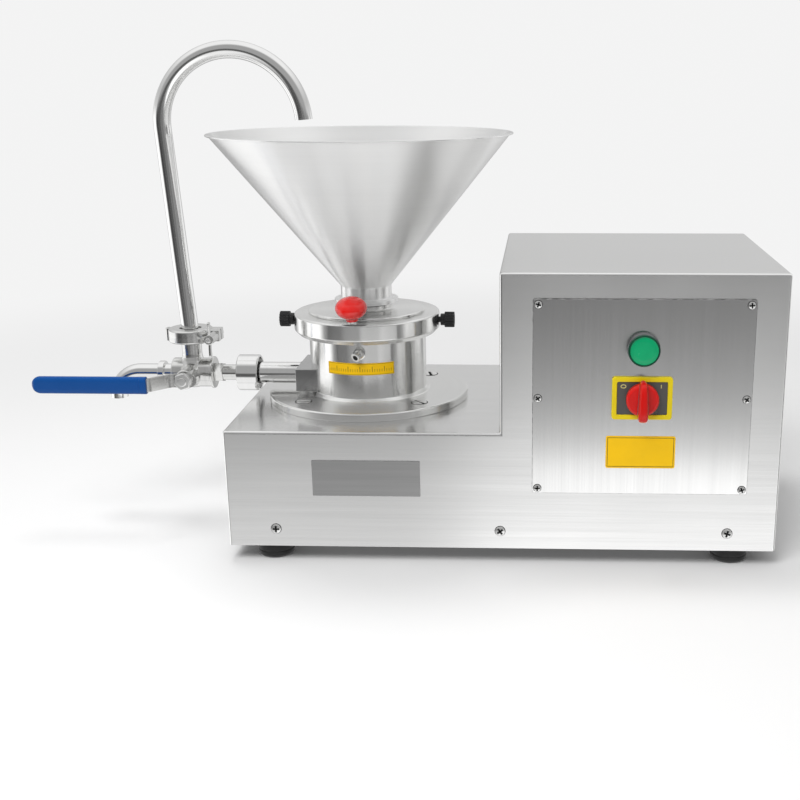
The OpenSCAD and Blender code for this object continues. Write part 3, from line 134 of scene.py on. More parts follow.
# A profile point (r, h) at angle t sits at (r cos t, r sin t, h). Ribs take depth * (1 - cos nt) / 2 off
# the radius between two heights, and a dip is taken off the height of the first rows.
def lathe(profile, radius=0.5, count=96, closed=True, steps=4, ribs=None, dip=None, dipRows=0):
    line, mark = roundCorners(profile, radius, steps, closed)
    t = np.linspace(0, 2 * np.pi, count, endpoint=False)[None, :]
    r, h = line[:, :1] + 0 * t, line[:, 1:] + 0 * t
    if ribs:
        inBand = (h > ribs["low"]) & (h < ribs["high"]) & (r > ribs["inner"])
        r = r - inBand * ribs["depth"] * (1 - np.cos(ribs["count"] * t)) / 2
    x, y = r * np.cos(t), r * np.sin(t)
    if dip:
        h = h - dip(x, y) * (np.arange(len(line))[:, None] < dipRows)
    grid = np.stack([x, y, h], -1)
    grain = np.stack([r, h, 0.6 * x], -1)
    edge = mark[:, None] + 0 * t
    if closed:
        faces = [gridFaces(len(line), count, wrapRows=True)]
        return finishShell(grid.reshape(-1, 3), faces, grain.reshape(-1, 3), edge.ravel())
    # an open profile starts and ends on the axis, where one point with a fan of triangles closes it
    rows = len(line) - 2
    verts, grain = (np.concatenate([g[1:-1].reshape(-1, 3), g[0, :1], g[-1, :1]]) for g in (grid, grain))
    edge = np.concatenate([edge[1:-1].ravel(), edge[0, :1], edge[-1, :1]])
    c = np.arange(count)
    n = (c + 1) % count
    first, last = rows * count, rows * count + 1
    fans = np.stack([n, c, 0 * c + first], -1), np.stack([c, n, 0 * c], -1)
    fans[1][:, :2] += (rows - 1) * count
    fans[1][:, 2] = last
    flat = [verts[f][:, :, :2] * capUv for f in fans]
    faces = [gridFaces(rows, count), (fans[0], flat[0]), (fans[1], flat[1])]
    return finishShell(verts, faces, grain, edge)


# The faces of rows of points, closed by a flat one over the first and over the last row.
def capped(rows, cols, points):
    caps = np.stack([np.arange(cols)[::-1], np.arange(cols) + (rows - 1) * cols])
    return [gridFaces(rows, cols), (caps, points[caps][:, :, :2] * capUv)]


# Each section point (a, b) sits at path + a side + b up, up being square to side and to the path.
# With an inner section the rows go out along the outside and come back along the bore.
def sweep(path, section, side=(0, 1, 0), inner=None, grow=None):
    path, section = np.asarray(path, float), np.asarray(section, float)
    side = np.asarray(side, float)
    tangent = np.gradient(path, axis=0)
    tangent /= np.linalg.norm(tangent, axis=1)[:, None]
    up = np.cross(tangent, side)
    up /= np.linalg.norm(up, axis=1)[:, None]
    along = np.concatenate([[0], np.cumsum(np.linalg.norm(np.diff(path, axis=0), axis=1))])
    scale = np.ones((len(path), 2)) if grow is None else grow

    def rowsOf(loop):
        a = loop[None, :, 0] * scale[:, :1]
        b = loop[None, :, 1] * scale[:, 1:]
        where = path[:, None] + a[..., None] * side + b[..., None] * up[:, None]
        return where, np.stack([a, b, along[:, None] + 0 * a], -1)

    grid, grain = rowsOf(section)
    rows, cols = len(path), len(section)
    if inner is not None:
        gridIn, grainIn = rowsOf(inner)
        grid = np.concatenate([grid, gridIn[::-1]])
        grain = np.concatenate([grain, grainIn[::-1]])
        faces = [gridFaces(2 * rows, cols, wrapRows=True)]
    else:
        faces = capped(rows, cols, grain.reshape(-1, 3))
    return finishShell(grid.reshape(-1, 3), faces, grain.reshape(-1, 3), np.zeros(grid.size // 3))


# An outline carried through its thickness; by each face it draws in along a quarter circle of the
# bevel's radius. A hole of as many points is walked back the same way.
def plate(outline, thickness, bevel=0.3, steps=3, hole=None):
    outline = np.asarray(outline, float)

    def outward(loop):
        before, after = loop - np.roll(loop, 1, 0), np.roll(loop, -1, 0) - loop
        turn = lambda d: np.stack([d[:, 1], -d[:, 0]], -1) / np.linalg.norm(d, axis=1)[:, None]
        both = turn(before) + turn(after)
        return both / np.maximum((both * turn(after)).sum(1), 0.3)[:, None]

    bend = np.linspace(0, np.pi / 2, steps + 1)
    inset = np.concatenate([bevel * (1 - np.sin(bend)), bevel * (1 - np.sin(bend[::-1]))])
    level = np.concatenate([bevel * (1 - np.cos(bend)), thickness - bevel * (1 - np.cos(bend[::-1]))])
    mark = np.concatenate([np.arange(steps + 1) > 0, np.arange(steps, -1, -1) > 0]).astype(float)

    def rowsOf(loop, sign, order):
        flat = loop[None] - sign * inset[order, None, None] * outward(loop)[None]
        return np.concatenate([flat, level[order, None, None] + 0 * flat[..., :1]], -1)

    order = np.arange(len(level))
    grid = rowsOf(outline, 1, order)
    rows, cols = len(level), len(outline)
    if hole is not None:
        grid = np.concatenate([grid, rowsOf(np.asarray(hole, float), -1, order[::-1])])
        mark = np.concatenate([mark, mark])
        faces = [gridFaces(2 * rows, cols, wrapRows=True)]
    else:
        faces = capped(rows, cols, grid.reshape(-1, 3))
    verts = grid.reshape(-1, 3)
    edge = (mark[:, None] + np.zeros((len(mark), cols))).ravel()
    return finishShell(verts, faces, verts[:, [1, 2, 0]].copy(), edge)


# Where a shell's +Z is to point; the rows say where its x, y and z axes go.
facing = {
    "up": [(1, 0, 0), (0, 1, 0), (0, 0, 1)],
    "front": [(1, 0, 0), (0, 0, 1), (0, -1, 0)],
    "back": [(1, 0, 0), (0, 0, -1), (0, 1, 0)],
    "right": [(0, 0, -1), (0, 1, 0), (1, 0, 0)],
    "left": [(0, 0, 1), (0, 1, 0), (-1, 0, 0)],
}


# Turn about its own axis, face a way, go through the matrix if there is one, then move.
def placed(shell, at=(0, 0, 0), face="up", spin=0, matrix=None):
    verts = shell["verts"]
    if spin:
        c, s = math.cos(math.radians(spin)), math.sin(math.radians(spin))
        verts = verts @ np.array([[c, s, 0], [-s, c, 0], [0, 0, 1]])
    verts = verts @ np.array(facing[face], float)
    if matrix is not None:
        m = np.array(matrix)
        verts = verts @ m[:3, :3].T + m[:3, 3]
    return {**shell, "verts": verts + np.asarray(at, float)}


def joined(shells):
    starts = np.cumsum([0] + [len(s["verts"]) for s in shells])
    faces = [(group + start, uv) for s, start in zip(shells, starts) for group, uv in s["faces"]]
    return {"faces": faces, **{k: np.concatenate([s[k] for s in shells]) for k in ("verts", "grain", "edge")}}


# One mesh of all the shells, in metres, with its uv map and its grain and edge attributes.
def makeMesh(name, shell):
    mesh = bpy.data.meshes.new(name)
    faces = [f for group, _ in shell["faces"] for f in group.tolist()]
    mesh.from_pydata((shell["verts"] + baseCentre) * mm, [], faces)
    uv = np.concatenate([u.reshape(-1, 2) for _, u in shell["faces"]])
    mesh.uv_layers.new(name="surface").data.foreach_set("uv", uv.astype(np.float32).ravel())
    grain = mesh.attributes.new("grain", "FLOAT_VECTOR", "POINT")
    grain.data.foreach_set("vector", (shell["grain"] * mm).astype(np.float32).ravel())
    edge = mesh.attributes.new("edge", "FLOAT", "POINT")
    edge.data.foreach_set("value", shell["edge"].astype(np.float32))
    mesh.shade_smooth()
    mesh.set_sharp_from_angle(angle=sharpFrom)
    mesh.validate()
    return mesh


def dress(mesh, material):
    mesh.materials.clear()
    mesh.materials.append(material)


# A new object in the scene.
def linked(name, data, material=None):
    obj = bpy.data.objects.new(name, data)
    bpy.context.scene.collection.objects.link(obj)
    if material:
        dress(data, material)
    return obj


def addPiece(name, shells, material, *nodes):
    standFor(linked(name, makeMesh(name, joined(shells)), material), *nodes)


# The piece rides its first node's body and stands for all the nodes named.
def standFor(obj, *nodes):
    obj.modifiers.new("flat faces stay flat", "WEIGHTED_NORMAL").keep_sharp = True
    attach(obj, bodyOf[nodes[0]])
    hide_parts(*nodes)


# A node's lowest and highest corner, and its middle, in millimetres from the base's middle.
def cad(node):
    low, high = (np.array(p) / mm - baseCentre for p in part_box(node))
    return low, high, (low + high) / 2


def nodeGroup(name, inputs, outputs):
    tree = bpy.data.node_groups.new(name, "ShaderNodeTree")
    for label, kind, value in inputs:
        socket = tree.interface.new_socket(label, in_out="INPUT", socket_type=kind)
        if value is not None:
            socket.default_value = value
    for label, kind in outputs:
        tree.interface.new_socket(label, in_out="OUTPUT", socket_type=kind)
    return tree, tree.nodes.new("NodeGroupInput"), tree.nodes.new("NodeGroupOutput")


# Feeds sockets by their keys: another socket is linked, anything else is a value.
def feed(tree, inputs, feeds):
    for key, value in feeds.items():
        if isinstance(value, bpy.types.NodeSocket):
            tree.links.new(value, inputs[key])
        else:
            inputs[key].default_value = value


def addNode(tree, kind, feeds=None, **settings):
    made = tree.nodes.new(kind)
    for key, value in settings.items():
        setattr(made, key, value)
    feed(tree, made.inputs, feeds or {})
    return made


def maths(tree, operation, a, b=0.0, c=0.0, clamp=False):
    made = addNode(tree, "ShaderNodeMath", {0: a, 1: b, 2: c}, operation=operation, use_clamp=clamp)
    return made.outputs[0]


def mixColour(tree, factor, a, b):
    return addNode(tree, "ShaderNodeMix", {0: factor, 6: a, 7: b}, data_type="RGBA").outputs[2]


def remap(tree, value, low, high, fromLow=0.0, fromHigh=1.0):
    made = addNode(tree, "ShaderNodeMapRange", {"Value": value, "From Min": fromLow,
                   "From Max": fromHigh, "To Min": low, "To Max": high})
    return made.outputs[0]


def parts(tree, vector):
    return addNode(tree, "ShaderNodeSeparateXYZ", {0: vector}).outputs


def attribute(tree, name, kind="Vector"):
    return addNode(tree, "ShaderNodeAttribute", attribute_name=name).outputs[kind]


def noise(tree, vector, scale, detail, **feeds):
    return addNode(tree, "ShaderNodeTexNoise", {"Vector": vector, "Scale": scale, "Detail": detail,
                   **feeds}).outputs["Fac"]


# Long fine scratches: noise stretched by few cells along the grain and many across it. The streaks are
# the same with wider cells.
def makeLineGroup():
    tree, into, out = nodeGroup("fineLines", [
        ("Vector", "NodeSocketVector", None), ("Across", "NodeSocketFloat", 3000.0),
        ("Along", "NodeSocketFloat", 20.0), ("Broad", "NodeSocketFloat", 0.12),
    ], [("Lines", "NodeSocketFloat"), ("Streaks", "NodeSocketFloat")])
    p = parts(tree, into.outputs["Vector"])
    for label, factor in (("Lines", 1.0), ("Streaks", into.outputs["Broad"])):
        across = maths(tree, "MULTIPLY", into.outputs["Across"], factor)
        along = maths(tree, "MULTIPLY", into.outputs["Along"], 1.0 if label == "Lines" else 0.4)
        where = addNode(tree, "ShaderNodeCombineXYZ", {
            i: maths(tree, "MULTIPLY", p[i], cells) for i, cells in enumerate((across, across, along))})
        tree.links.new(noise(tree, where.outputs[0], 1.0, 3.0, Roughness=0.65), out.inputs[label])
    return tree


# Soft patches, such as wiped smears and uneven gloss, between two values.
def makePatchGroup():
    tree, into, out = nodeGroup("softPatches", [
        ("Vector", "NodeSocketVector", None), ("Scale", "NodeSocketFloat", 14.0),
        ("Low", "NodeSocketFloat", 0.0), ("High", "NodeSocketFloat", 1.0),
    ], [("Value", "NodeSocketFloat")])
    cloud = noise(tree, into.outputs["Vector"], into.outputs["Scale"], 4.0, Roughness=0.55)
    value = remap(tree, cloud, into.outputs["Low"], into.outputs["High"], 0.3, 0.7)
    tree.links.new(value, out.inputs["Value"])
    return tree


# Worn edges, and painted shade: the edge mark broken up by noise moves the colour towards the worn one, which
# on the control panel is a dark one standing in for the shade along its edge.
def makeWearAndShadeGroup():
    tree, into, out = nodeGroup("edgeWearAndShade", [
        ("Colour", "NodeSocketColor", (0.5, 0.5, 0.5, 1)), ("WornAndShaded", "NodeSocketColor", (0.8, 0.8, 0.8, 1)),
        ("Edge", "NodeSocketFloat", 0.0), ("Amount", "NodeSocketFloat", 0.5),
        ("Vector", "NodeSocketVector", None),
    ], [("Colour", "NodeSocketColor")])
    broken = remap(tree, noise(tree, into.outputs["Vector"], 260.0, 2.0), 0.35, 1.0, 0.35, 0.6)
    mask = maths(tree, "MULTIPLY", maths(tree, "MULTIPLY", into.outputs["Edge"], broken),
                 into.outputs["Amount"], clamp=True)
    shown = mixColour(tree, mask, into.outputs["Colour"], into.outputs["WornAndShaded"])
    tree.links.new(shown, out.inputs["Colour"])
    return tree


dustColour = (0.74, 0.72, 0.69, 1)


# Dust: a thin pale film on faces that look up, thicker in patches.
def makeDustGroup():
    tree, into, out = nodeGroup("restingDust", [
        ("Colour", "NodeSocketColor", (0.5, 0.5, 0.5, 1)), ("Normal", "NodeSocketVector", None),
        ("Vector", "NodeSocketVector", None), ("Amount", "NodeSocketFloat", 0.05),
    ], [("Colour", "NodeSocketColor"), ("Film", "NodeSocketFloat")])
    upward = parts(tree, into.outputs["Normal"])[2]
    cloud = noise(tree, into.outputs["Vector"], 35.0, 5.0)
    film = maths(tree, "MULTIPLY", remap(tree, upward, 0, 1, 0.2, 1),
                 maths(tree, "MULTIPLY", cloud, into.outputs["Amount"]), clamp=True)
    shown = mixColour(tree, film, into.outputs["Colour"], dustColour)
    feed(tree, out.inputs, {"Colour": shown, "Film": film})
    return tree


# A face looks along an axis where that part of its normal is more than this.
facingShare = 0.72


# The grain of folded sheet: faces that look up run left to right, upright ones level.
def makeSheetGroup():
    tree, into, out = nodeGroup("sheetGrain", [
        ("Vector", "NodeSocketVector", None), ("Normal", "NodeSocketVector", None),
    ], [("Vector", "NodeSocketVector")])
    p, n = parts(tree, into.outputs["Vector"]), parts(tree, into.outputs["Normal"])
    flat = maths(tree, "GREATER_THAN", maths(tree, "ABSOLUTE", n[2]), facingShare)
    sideways = maths(tree, "GREATER_THAN", maths(tree, "ABSOLUTE", n[0]), facingShare)
    across = addNode(tree, "ShaderNodeMix", {0: flat, 2: p[2], 3: p[1]}).outputs[0]
    along = addNode(tree, "ShaderNodeMix", {0: sideways, 2: p[0], 3: p[1]}).outputs[0]
    apart = maths(tree, "MULTIPLY", flat, 0.37)  # so that a top's lines don't repeat those of a side
    where = addNode(tree, "ShaderNodeCombineXYZ", {0: across, 1: apart, 2: along})
    tree.links.new(where.outputs[0], out.inputs["Vector"])
    return tree


lineGroup, patchGroup, wearAndShadeGroup = makeLineGroup(), makePatchGroup(), makeWearAndShadeGroup()
dustGroup, sheetGroup = makeDustGroup(), makeSheetGroup()


def placeGroup(tree, group, feeds):
    return addNode(tree, "ShaderNodeGroup", feeds, node_tree=group).outputs


def startMaterial(name):
    material = bpy.data.materials.new(name)
    material.use_nodes = True
    tree = material.node_tree
    return material, tree, tree.nodes["Principled BSDF"]


def position(tree):
    return addNode(tree, "ShaderNodeTexCoord").outputs["Object"]


def normalOf(tree):
    return addNode(tree, "ShaderNodeNewGeometry").outputs["Normal"]


def grainOf(tree, kind, here):
    if kind == "own":
        return attribute(tree, "grain")
    if kind == "sheet":
        return placeGroup(tree, sheetGroup, {"Vector": here, "Normal": normalOf(tree)})["Vector"]
    return here


# Worn edges, on the control panel painted shade, and then dust over a colour: gives the new colour and the
# dust's film.
def wearShadeAndDust(tree, colour, wornAndShaded, wearAndShade, dust, here):
    rubbedAndShaded = placeGroup(tree, wearAndShadeGroup, {"Colour": colour, "WornAndShaded": (*wornAndShaded, 1), "Amount": wearAndShade,
                        "Edge": attribute(tree, "edge", "Fac"), "Vector": here})["Colour"]
    made = placeGroup(tree, dustGroup, {"Colour": rubbedAndShaded, "Normal": normalOf(tree), "Vector": here,
                      "Amount": dust})
    return made["Colour"], made["Film"]


def addBump(tree, shader, strength, height):
    bump = addNode(tree, "ShaderNodeBump", {"Strength": strength, "Distance": 0.2 * mm, "Height": height})
    tree.links.new(bump.outputs[0], shader.inputs["Normal"])


# Steel: lines modulate colour, roughness and a shallow bump, patches modulate the gloss.
def metal(name, colour, dark=0.86, rough=(0.12, 0.24), across=2600, along=14, stretch=0.5,
          relief=0.06, patch=0.05, wearAndShade=0.5, grain="own", edgeWearAndShadeTone=1.12, metallic=1.0):
    material, tree, shader = startMaterial(name)
    here = position(tree)
    vector = grainOf(tree, grain, here)
    lines = placeGroup(tree, lineGroup, {"Vector": vector, "Across": across, "Along": along})
    patches = placeGroup(tree, patchGroup, {"Vector": here, "Scale": 9.0, "Low": -patch, "High": patch})
    both = maths(tree, "ADD", maths(tree, "MULTIPLY", lines["Lines"], 0.45),
                 maths(tree, "MULTIPLY", lines["Streaks"], 0.55))
    tone = remap(tree, both, 0, 1, 0.34, 0.66)
    deep = tuple(c * dark for c in colour)
    base = mixColour(tree, tone, (*deep, 1), (*colour, 1))
    edgeWearAndShadeColour = tuple(min(1.0, c * edgeWearAndShadeTone) for c in colour)
    shown, film = wearShadeAndDust(tree, base, edgeWearAndShadeColour, wearAndShade, 0.02, here)
    gloss = maths(tree, "ADD", remap(tree, tone, rough[1], rough[0]), patches["Value"])
    gloss = maths(tree, "ADD", gloss, film, clamp=True)
    feed(tree, shader.inputs, {"Base Color": shown, "Roughness": gloss, "Metallic": metallic})
    addBump(tree, shader, relief, both)
    if grain != "object":  # highlights stretch across the grooves, the way the uv map's u runs
        along = addNode(tree, "ShaderNodeTangent", direction_type="UV_MAP", uv_map="surface")
        tree.links.new(along.outputs[0], shader.inputs["Tangent"])
        shader.inputs["Anisotropic"].default_value = stretch
    return material


# Moulded plastic, rubber and paint: a fine skin in the bump, soft gloss patches, lighter rubbed edges.
def moulded(name, colour, rough=0.35, skin=900, relief=0.08, edgeColour=None, wearAndShade=0.35, coat=0.0,
            dust=0.02, vary=0.12, metallic=0.0, level=0.5, greyInReflections=None):
    material, tree, shader = startMaterial(name)
    here = position(tree)
    patches = placeGroup(tree, patchGroup, {"Vector": here, "Scale": 30.0})["Value"]
    deep = tuple(c * (1 - vary) for c in colour)
    base = mixColour(tree, patches, (*deep, 1), (*colour, 1))
    light = edgeColour or tuple(min(1.0, c * 1.3 + 0.02) for c in colour)
    shown, film = wearShadeAndDust(tree, base, light, wearAndShade, dust, here)
    # Painted reflection: in mirroring surfaces this part shows in a plain grey instead of its own colour.
    if greyInReflections:  # the photo's steel is neutral: in it this colour shows as a grey
        reflected = addNode(tree, "ShaderNodeLightPath").outputs["Is Glossy Ray"]
        shown = mixColour(tree, reflected, shown, (greyInReflections, greyInReflections, greyInReflections, 1))
    gloss = maths(tree, "ADD", remap(tree, patches, rough * 0.85, rough * 1.15), film, clamp=True)
    feed(tree, shader.inputs, {"Base Color": shown, "Roughness": gloss, "Metallic": metallic,
         "Specular IOR Level": level})
    addBump(tree, shader, relief, noise(tree, here, float(skin), 3.0))
    if coat:
        feed(tree, shader.inputs, {"Coat Weight": coat, "Coat Roughness": 0.06})
    return material


sheetSteel = metal("brushedSheet", (0.88, 0.88, 0.875), dark=0.93, rough=(0.16, 0.19), across=900,
                   along=5, stretch=0.8, relief=0.008, grain="sheet", wearAndShade=0.9, patch=0.01)
# Its dark edge colour is painted shade: a dark line along the panel's bevelled edge stands in for the shade
# in the gap round it.
panelSteel = metal("brushedPanel", (0.88, 0.88, 0.875), dark=0.94, rough=(0.16, 0.185), across=800,
                   along=4, stretch=0.95, relief=0.004, wearAndShade=1.0, patch=0.01, edgeWearAndShadeTone=0.12)
turnedSteel = metal("turnedSteel", (0.88, 0.88, 0.87), dark=0.95, rough=(0.185, 0.205), across=1200,
                    stretch=0.92, relief=0.004, patch=0.01)
hopperSteel = metal("spunHopper", (0.96, 0.96, 0.955), dark=0.97, rough=(0.31, 0.32), across=1000,
                    along=10, stretch=1.0, relief=0.003, patch=0.0, metallic=0.94)
pipeSteel = metal("polishedPipe", (0.87, 0.87, 0.865), dark=0.94, rough=(0.09, 0.13), across=1400,
                  along=60, stretch=0.35, relief=0.006, patch=0.02)
castSteel = metal("castSteel", (0.76, 0.76, 0.75), dark=0.90, rough=(0.11, 0.20), stretch=0.2,
                  relief=0.05, patch=0.07)
screwSteel = metal("screwSteel", (0.92, 0.92, 0.91), dark=0.92, rough=(0.30, 0.40), stretch=0.3,
                   relief=0.02)
# Dark steel for the tray under the base: painted shade, so that less light bounces into the gap under it and
# the shadow there is deeper.
undersideShadeSteel = metal("undersideShadeSteel", (0.20, 0.20, 0.20), grain="object", rough=(0.42, 0.55),
                       relief=0.04)
handleSteel = metal("handleSteel", (0.70, 0.70, 0.69), dark=0.82, rough=(0.18, 0.30), across=2400,
                    along=40, relief=0.08)
# A darker copy of the steel for the outlet block: painted shade standing in for the dark reflection on its
# front face.
shadedBlockSteel = metal("outletBlockShadedSteel", (0.50, 0.50, 0.50), dark=0.88, rough=(0.18, 0.26), across=1200,
                   along=30, stretch=0.2, relief=0.015)
machinedSteel = metal("machinedSteel", (0.62, 0.62, 0.61), grain="object", rough=(0.2, 0.32))
innerSteel = metal("innerSteel", (0.70, 0.70, 0.69), grain="object", rough=(0.2, 0.34), relief=0.04)
plateMetal = metal("anodisedPlate", (0.44, 0.44, 0.44), dark=0.88, rough=(0.34, 0.44), across=1800,
                   along=12, stretch=0.4, relief=0.05, wearAndShade=0.8)
blackRubber = moulded("blackRubber", (0.018, 0.018, 0.018), rough=0.62, skin=700, relief=0.25,
                      dust=0.05)
blackPlastic = moulded("blackPlastic", (0.012, 0.012, 0.013), rough=0.38, skin=1100, relief=0.12)
redPlastic = moulded("redPlastic", (0.66, 0.006, 0.004), rough=0.24, skin=500, relief=0.03, level=0.25,
                     coat=0.2, greyInReflections=0.14)
redKnobPlastic = moulded("redKnobPlastic", (0.80, 0.008, 0.005), rough=0.15, skin=400, relief=0.02,
                         level=0.4, coat=0.5, greyInReflections=0.16)
yellowPlastic = moulded("yellowPlastic", (0.84, 0.66, 0.004), rough=0.32, skin=900, relief=0.04,
                        level=0.3)
greyPlastic = moulded("greyPlastic", (0.085, 0.082, 0.078), rough=0.42, skin=1000, relief=0.10)
blueVinyl = moulded("dippedVinyl", (0.004, 0.072, 0.290), rough=0.34, skin=420, relief=0.10, vary=0.06,
                    edgeColour=(0.01, 0.10, 0.44), dust=0.0, level=0.25)
motorPaint = moulded("motorPaint", (0.09, 0.19, 0.31), rough=0.32, skin=300, relief=0.12, coat=0.3)
bracketPaint = moulded("bracketPaint", (0.24, 0.25, 0.26), rough=0.5, skin=800, relief=0.30)
castIron = moulded("castIron", (0.13, 0.13, 0.135), rough=0.48, skin=500, relief=0.35, metallic=0.8)
print("materials ready")


housing = {"deck": 130, "step": 0, "window": (174, 158), "windowMiddle": 165, "bend": 2.6, "sheet": 2}


# A stepped box without a bottom, in flat faces that frame the two windows; a bevel makes the bends
# and a solidify the sheet's thickness.
def makeHousing(size):
    (x0, y0, z0), (x1, y1, z1), _ = cad("housing_shell")
    xs, zs = size["step"], size["deck"]
    wx, wz = (xs + x1) / 2, size["windowMiddle"]
    w, h = size["window"][0] / 2, size["window"][1] / 2
    side = np.array([(x0, z0), (xs, z0), (x1, z0), (x1, z1), (xs, z1), (xs, zs), (x0, zs),
                     (wx - w, wz - h), (wx + w, wz - h), (wx + w, wz + h), (wx - w, wz + h)])
    n = len(side)
    front = np.stack([side[:, 0], 0 * side[:, 0] + y0, side[:, 1]], -1)
    verts = np.concatenate([front, front + (0, y1 - y0, 0)])
    quads = np.array([[0, 1, 5, 6], [1, 2, 8, 7], [2, 3, 9, 8], [3, 4, 10, 9]])
    five = np.array([[4, 5, 1, 7, 10]])
    rim = np.array([2, 3, 4, 5, 6])
    after = np.array([3, 4, 5, 6, 0])
    bands = np.stack([rim, rim + n, after + n, after], -1)
    level = np.array([False, True, False, True, False])
    faces = []
    for group, pick in ((quads, (2, 0)), (quads[:, ::-1] + n, (2, 0)), (five, (2, 0)),
                        (five[:, ::-1] + n, (2, 0)), (bands[level], (1, 0)), (bands[~level], (2, 1))):
        faces.append((group, verts[group][:, :, pick] * sheetUv))
    shell = {"verts": verts, "faces": faces, "grain": 0 * verts, "edge": 0 * verts[:, 0]}
    obj = linked("foldedHousing", makeMesh("foldedHousing", shell), sheetSteel)
    addBevel(obj, size["bend"], 5)
    thick = obj.modifiers.new("sheet", "SOLIDIFY")
    thick.thickness, thick.offset, thick.use_even_offset = size["sheet"] * mm, -1, True
    bake(obj)
    standFor(obj, "housing_shell")


def addBevel(obj, width, segments):
    bevel = obj.modifiers.new("bends", "BEVEL")
    bevel.width, bevel.segments, bevel.angle_limit = width * mm, segments, math.radians(40)


# The mesh as its modifiers leave it takes the place of the first one.
def bake(obj):
    bpy.context.view_layer.update()
    shown = obj.evaluated_get(bpy.context.evaluated_depsgraph_get())
    solid = bpy.data.meshes.new_from_object(shown)
    obj.modifiers.clear()
    obj.data = solid
    markBends(solid)


# A vertex whose normal points along no axis lies in a bend: its edge mark is 1, but 0 where a flat
# face of more than a square centimetre ends in it.
def markBends(mesh):
    normals = np.zeros(len(mesh.vertices) * 3, np.float32)
    mesh.vertices.foreach_get("normal", normals)
    bent = (np.abs(normals.reshape(-1, 3)).max(1) < 0.985).astype(np.float32)
    for face in mesh.polygons:
        if face.area > 100 * mm * mm:
            bent[list(face.vertices)] = 0
    if "edge" in mesh.attributes:
        mesh.attributes.remove(mesh.attributes["edge"])
    mesh.attributes.new("edge", "FLOAT", "POINT").data.foreach_set("value", bent)
    mesh.set_sharp_from_angle(angle=sharpFrom)


makeHousing(housing)


# 1 where a distance is short of a limit and 0 beyond it, falling in a straight line over a span.
def within(distance, limit, span=0.3):
    return np.clip((limit - distance) / span + 0.5, 0, 1)


# How deep a cross is cut at a point: full where the nearer axis is closer than half its width.
def crossDip(arm, width, depth):
    def dip(x, y):
        a, b = np.minimum(abs(x), abs(y)), np.maximum(abs(x), abs(y))
        return depth * within(a, width / 2) * within(b, arm, 0.5)
    return dip


# A slot along x: full depth where y is closer to its middle than half its width.
def slotDip(width, depth):
    return lambda x, y: depth * within(abs(y), width / 2)


# A domed head on its shank: height falls by dome times (r / R) squared, less the dip.
def screw(size, dip):
    reach, h = size["head"] / 2, size["height"]
    r = np.linspace(0, 0.93, 13) * reach
    top = np.stack([r, h * (1 - size["dome"] * (r / reach) ** 2)], -1)
    under = [(reach, h * 0.5 * (1 - size["dome"])), (reach, 0), (size["shank"] / 2, 0),
             (size["shank"] / 2, -size["length"]), (0, -size["length"])]
    return lathe(np.concatenate([top, under]), radius=0, count=64, closed=False, dip=dip, dipRows=len(top))


# Black for painted shade: it fills the screws' cuts and rings their heads, where shade falls.
shadeBlack = moulded("shadeBlack", (0.008, 0.008, 0.008), rough=0.7, level=0.1, wearAndShade=0, dust=0.0)
coverScrew = {"head": 7.0, "height": 2.2, "dome": 0.45, "shank": 4, "length": 7, "face": coverAt,
              "xs": (cabinetX - 95, cabinetX + 95), "zs": (78, 165, 252)}
trayScrew = {"head": 9.5, "height": 2.2, "dome": 0.45, "shank": 5, "length": 8, "face": faceAt,
             "xs": (-214, 0, 214), "zs": (33.5,)}
# Arm and width as shares of the head; beyond is how far the black plate of painted shade in the cut reaches
# further.
crossCut = {"arm": 0.33, "width": 0.17, "depth": 1.1, "beyond": (0.2, 0.15), "plate": 0.9, "sunk": 1.5}


# The same screws on the front and the back, each turned by its own angle; a black plate in each cut and a
# thin black ring round each head are painted shade.
def makeScrews(name, node, size, cut):
    arm, width = size["head"] * cut["arm"], size["head"] * cut["width"]
    shape = screw(size, crossDip(arm, width, cut["depth"]))
    a, w = arm + cut["beyond"][0], width / 2 + cut["beyond"][1]
    quarter = np.array([(a, -w), (a, w), (w, w)])
    turns = ((1, 0), (0, 1), (-1, 0), (0, -1))
    outline = np.concatenate([quarter @ np.array([(c, s), (-s, c)]) for c, s in turns])
    shadePlate = placed(plate(outline, cut["plate"], 0.05, steps=1), (0, 0, size["height"] - cut["sunk"]))
    h = size["head"] / 2
    rim = lathe([(h - 0.6, 0), (h + 0.45, 0), (h + 0.35, 0.25), (h - 0.6, 0.25)], radius=0.05, count=48)
    shells, dark = [], []
    for i, (x, z) in enumerate((x, z) for x in size["xs"] for z in size["zs"]):
        for y, face, step in ((-size["face"], "front", 37), (size["face"], "back", 53)):
            spin = (i * step) % 90
            shells.append(placed(shape, (x, y, z), face, spin=spin))
            dark += [placed(shadePlate, (x, y, z), face, spin=spin), placed(rim, (x, y, z), face)]
    addPiece(name, shells, screwSteel, node)
    addPiece(name + "ShadePlates", dark, shadeBlack, node)


makeScrews("trayScrewSet", "tray_screws", trayScrew, crossCut)
makeScrews("coverScrewSet", "cover_screws", coverScrew, crossCut)


foot = {"reach": 17.5, "height": 16, "groove": 0.7, "xs": (-220, 220), "ys": (-111, 111),
        "stud": 8, "studLength": 8, "nut": 14.4, "nutDepth": 5, "nutAt": 19}


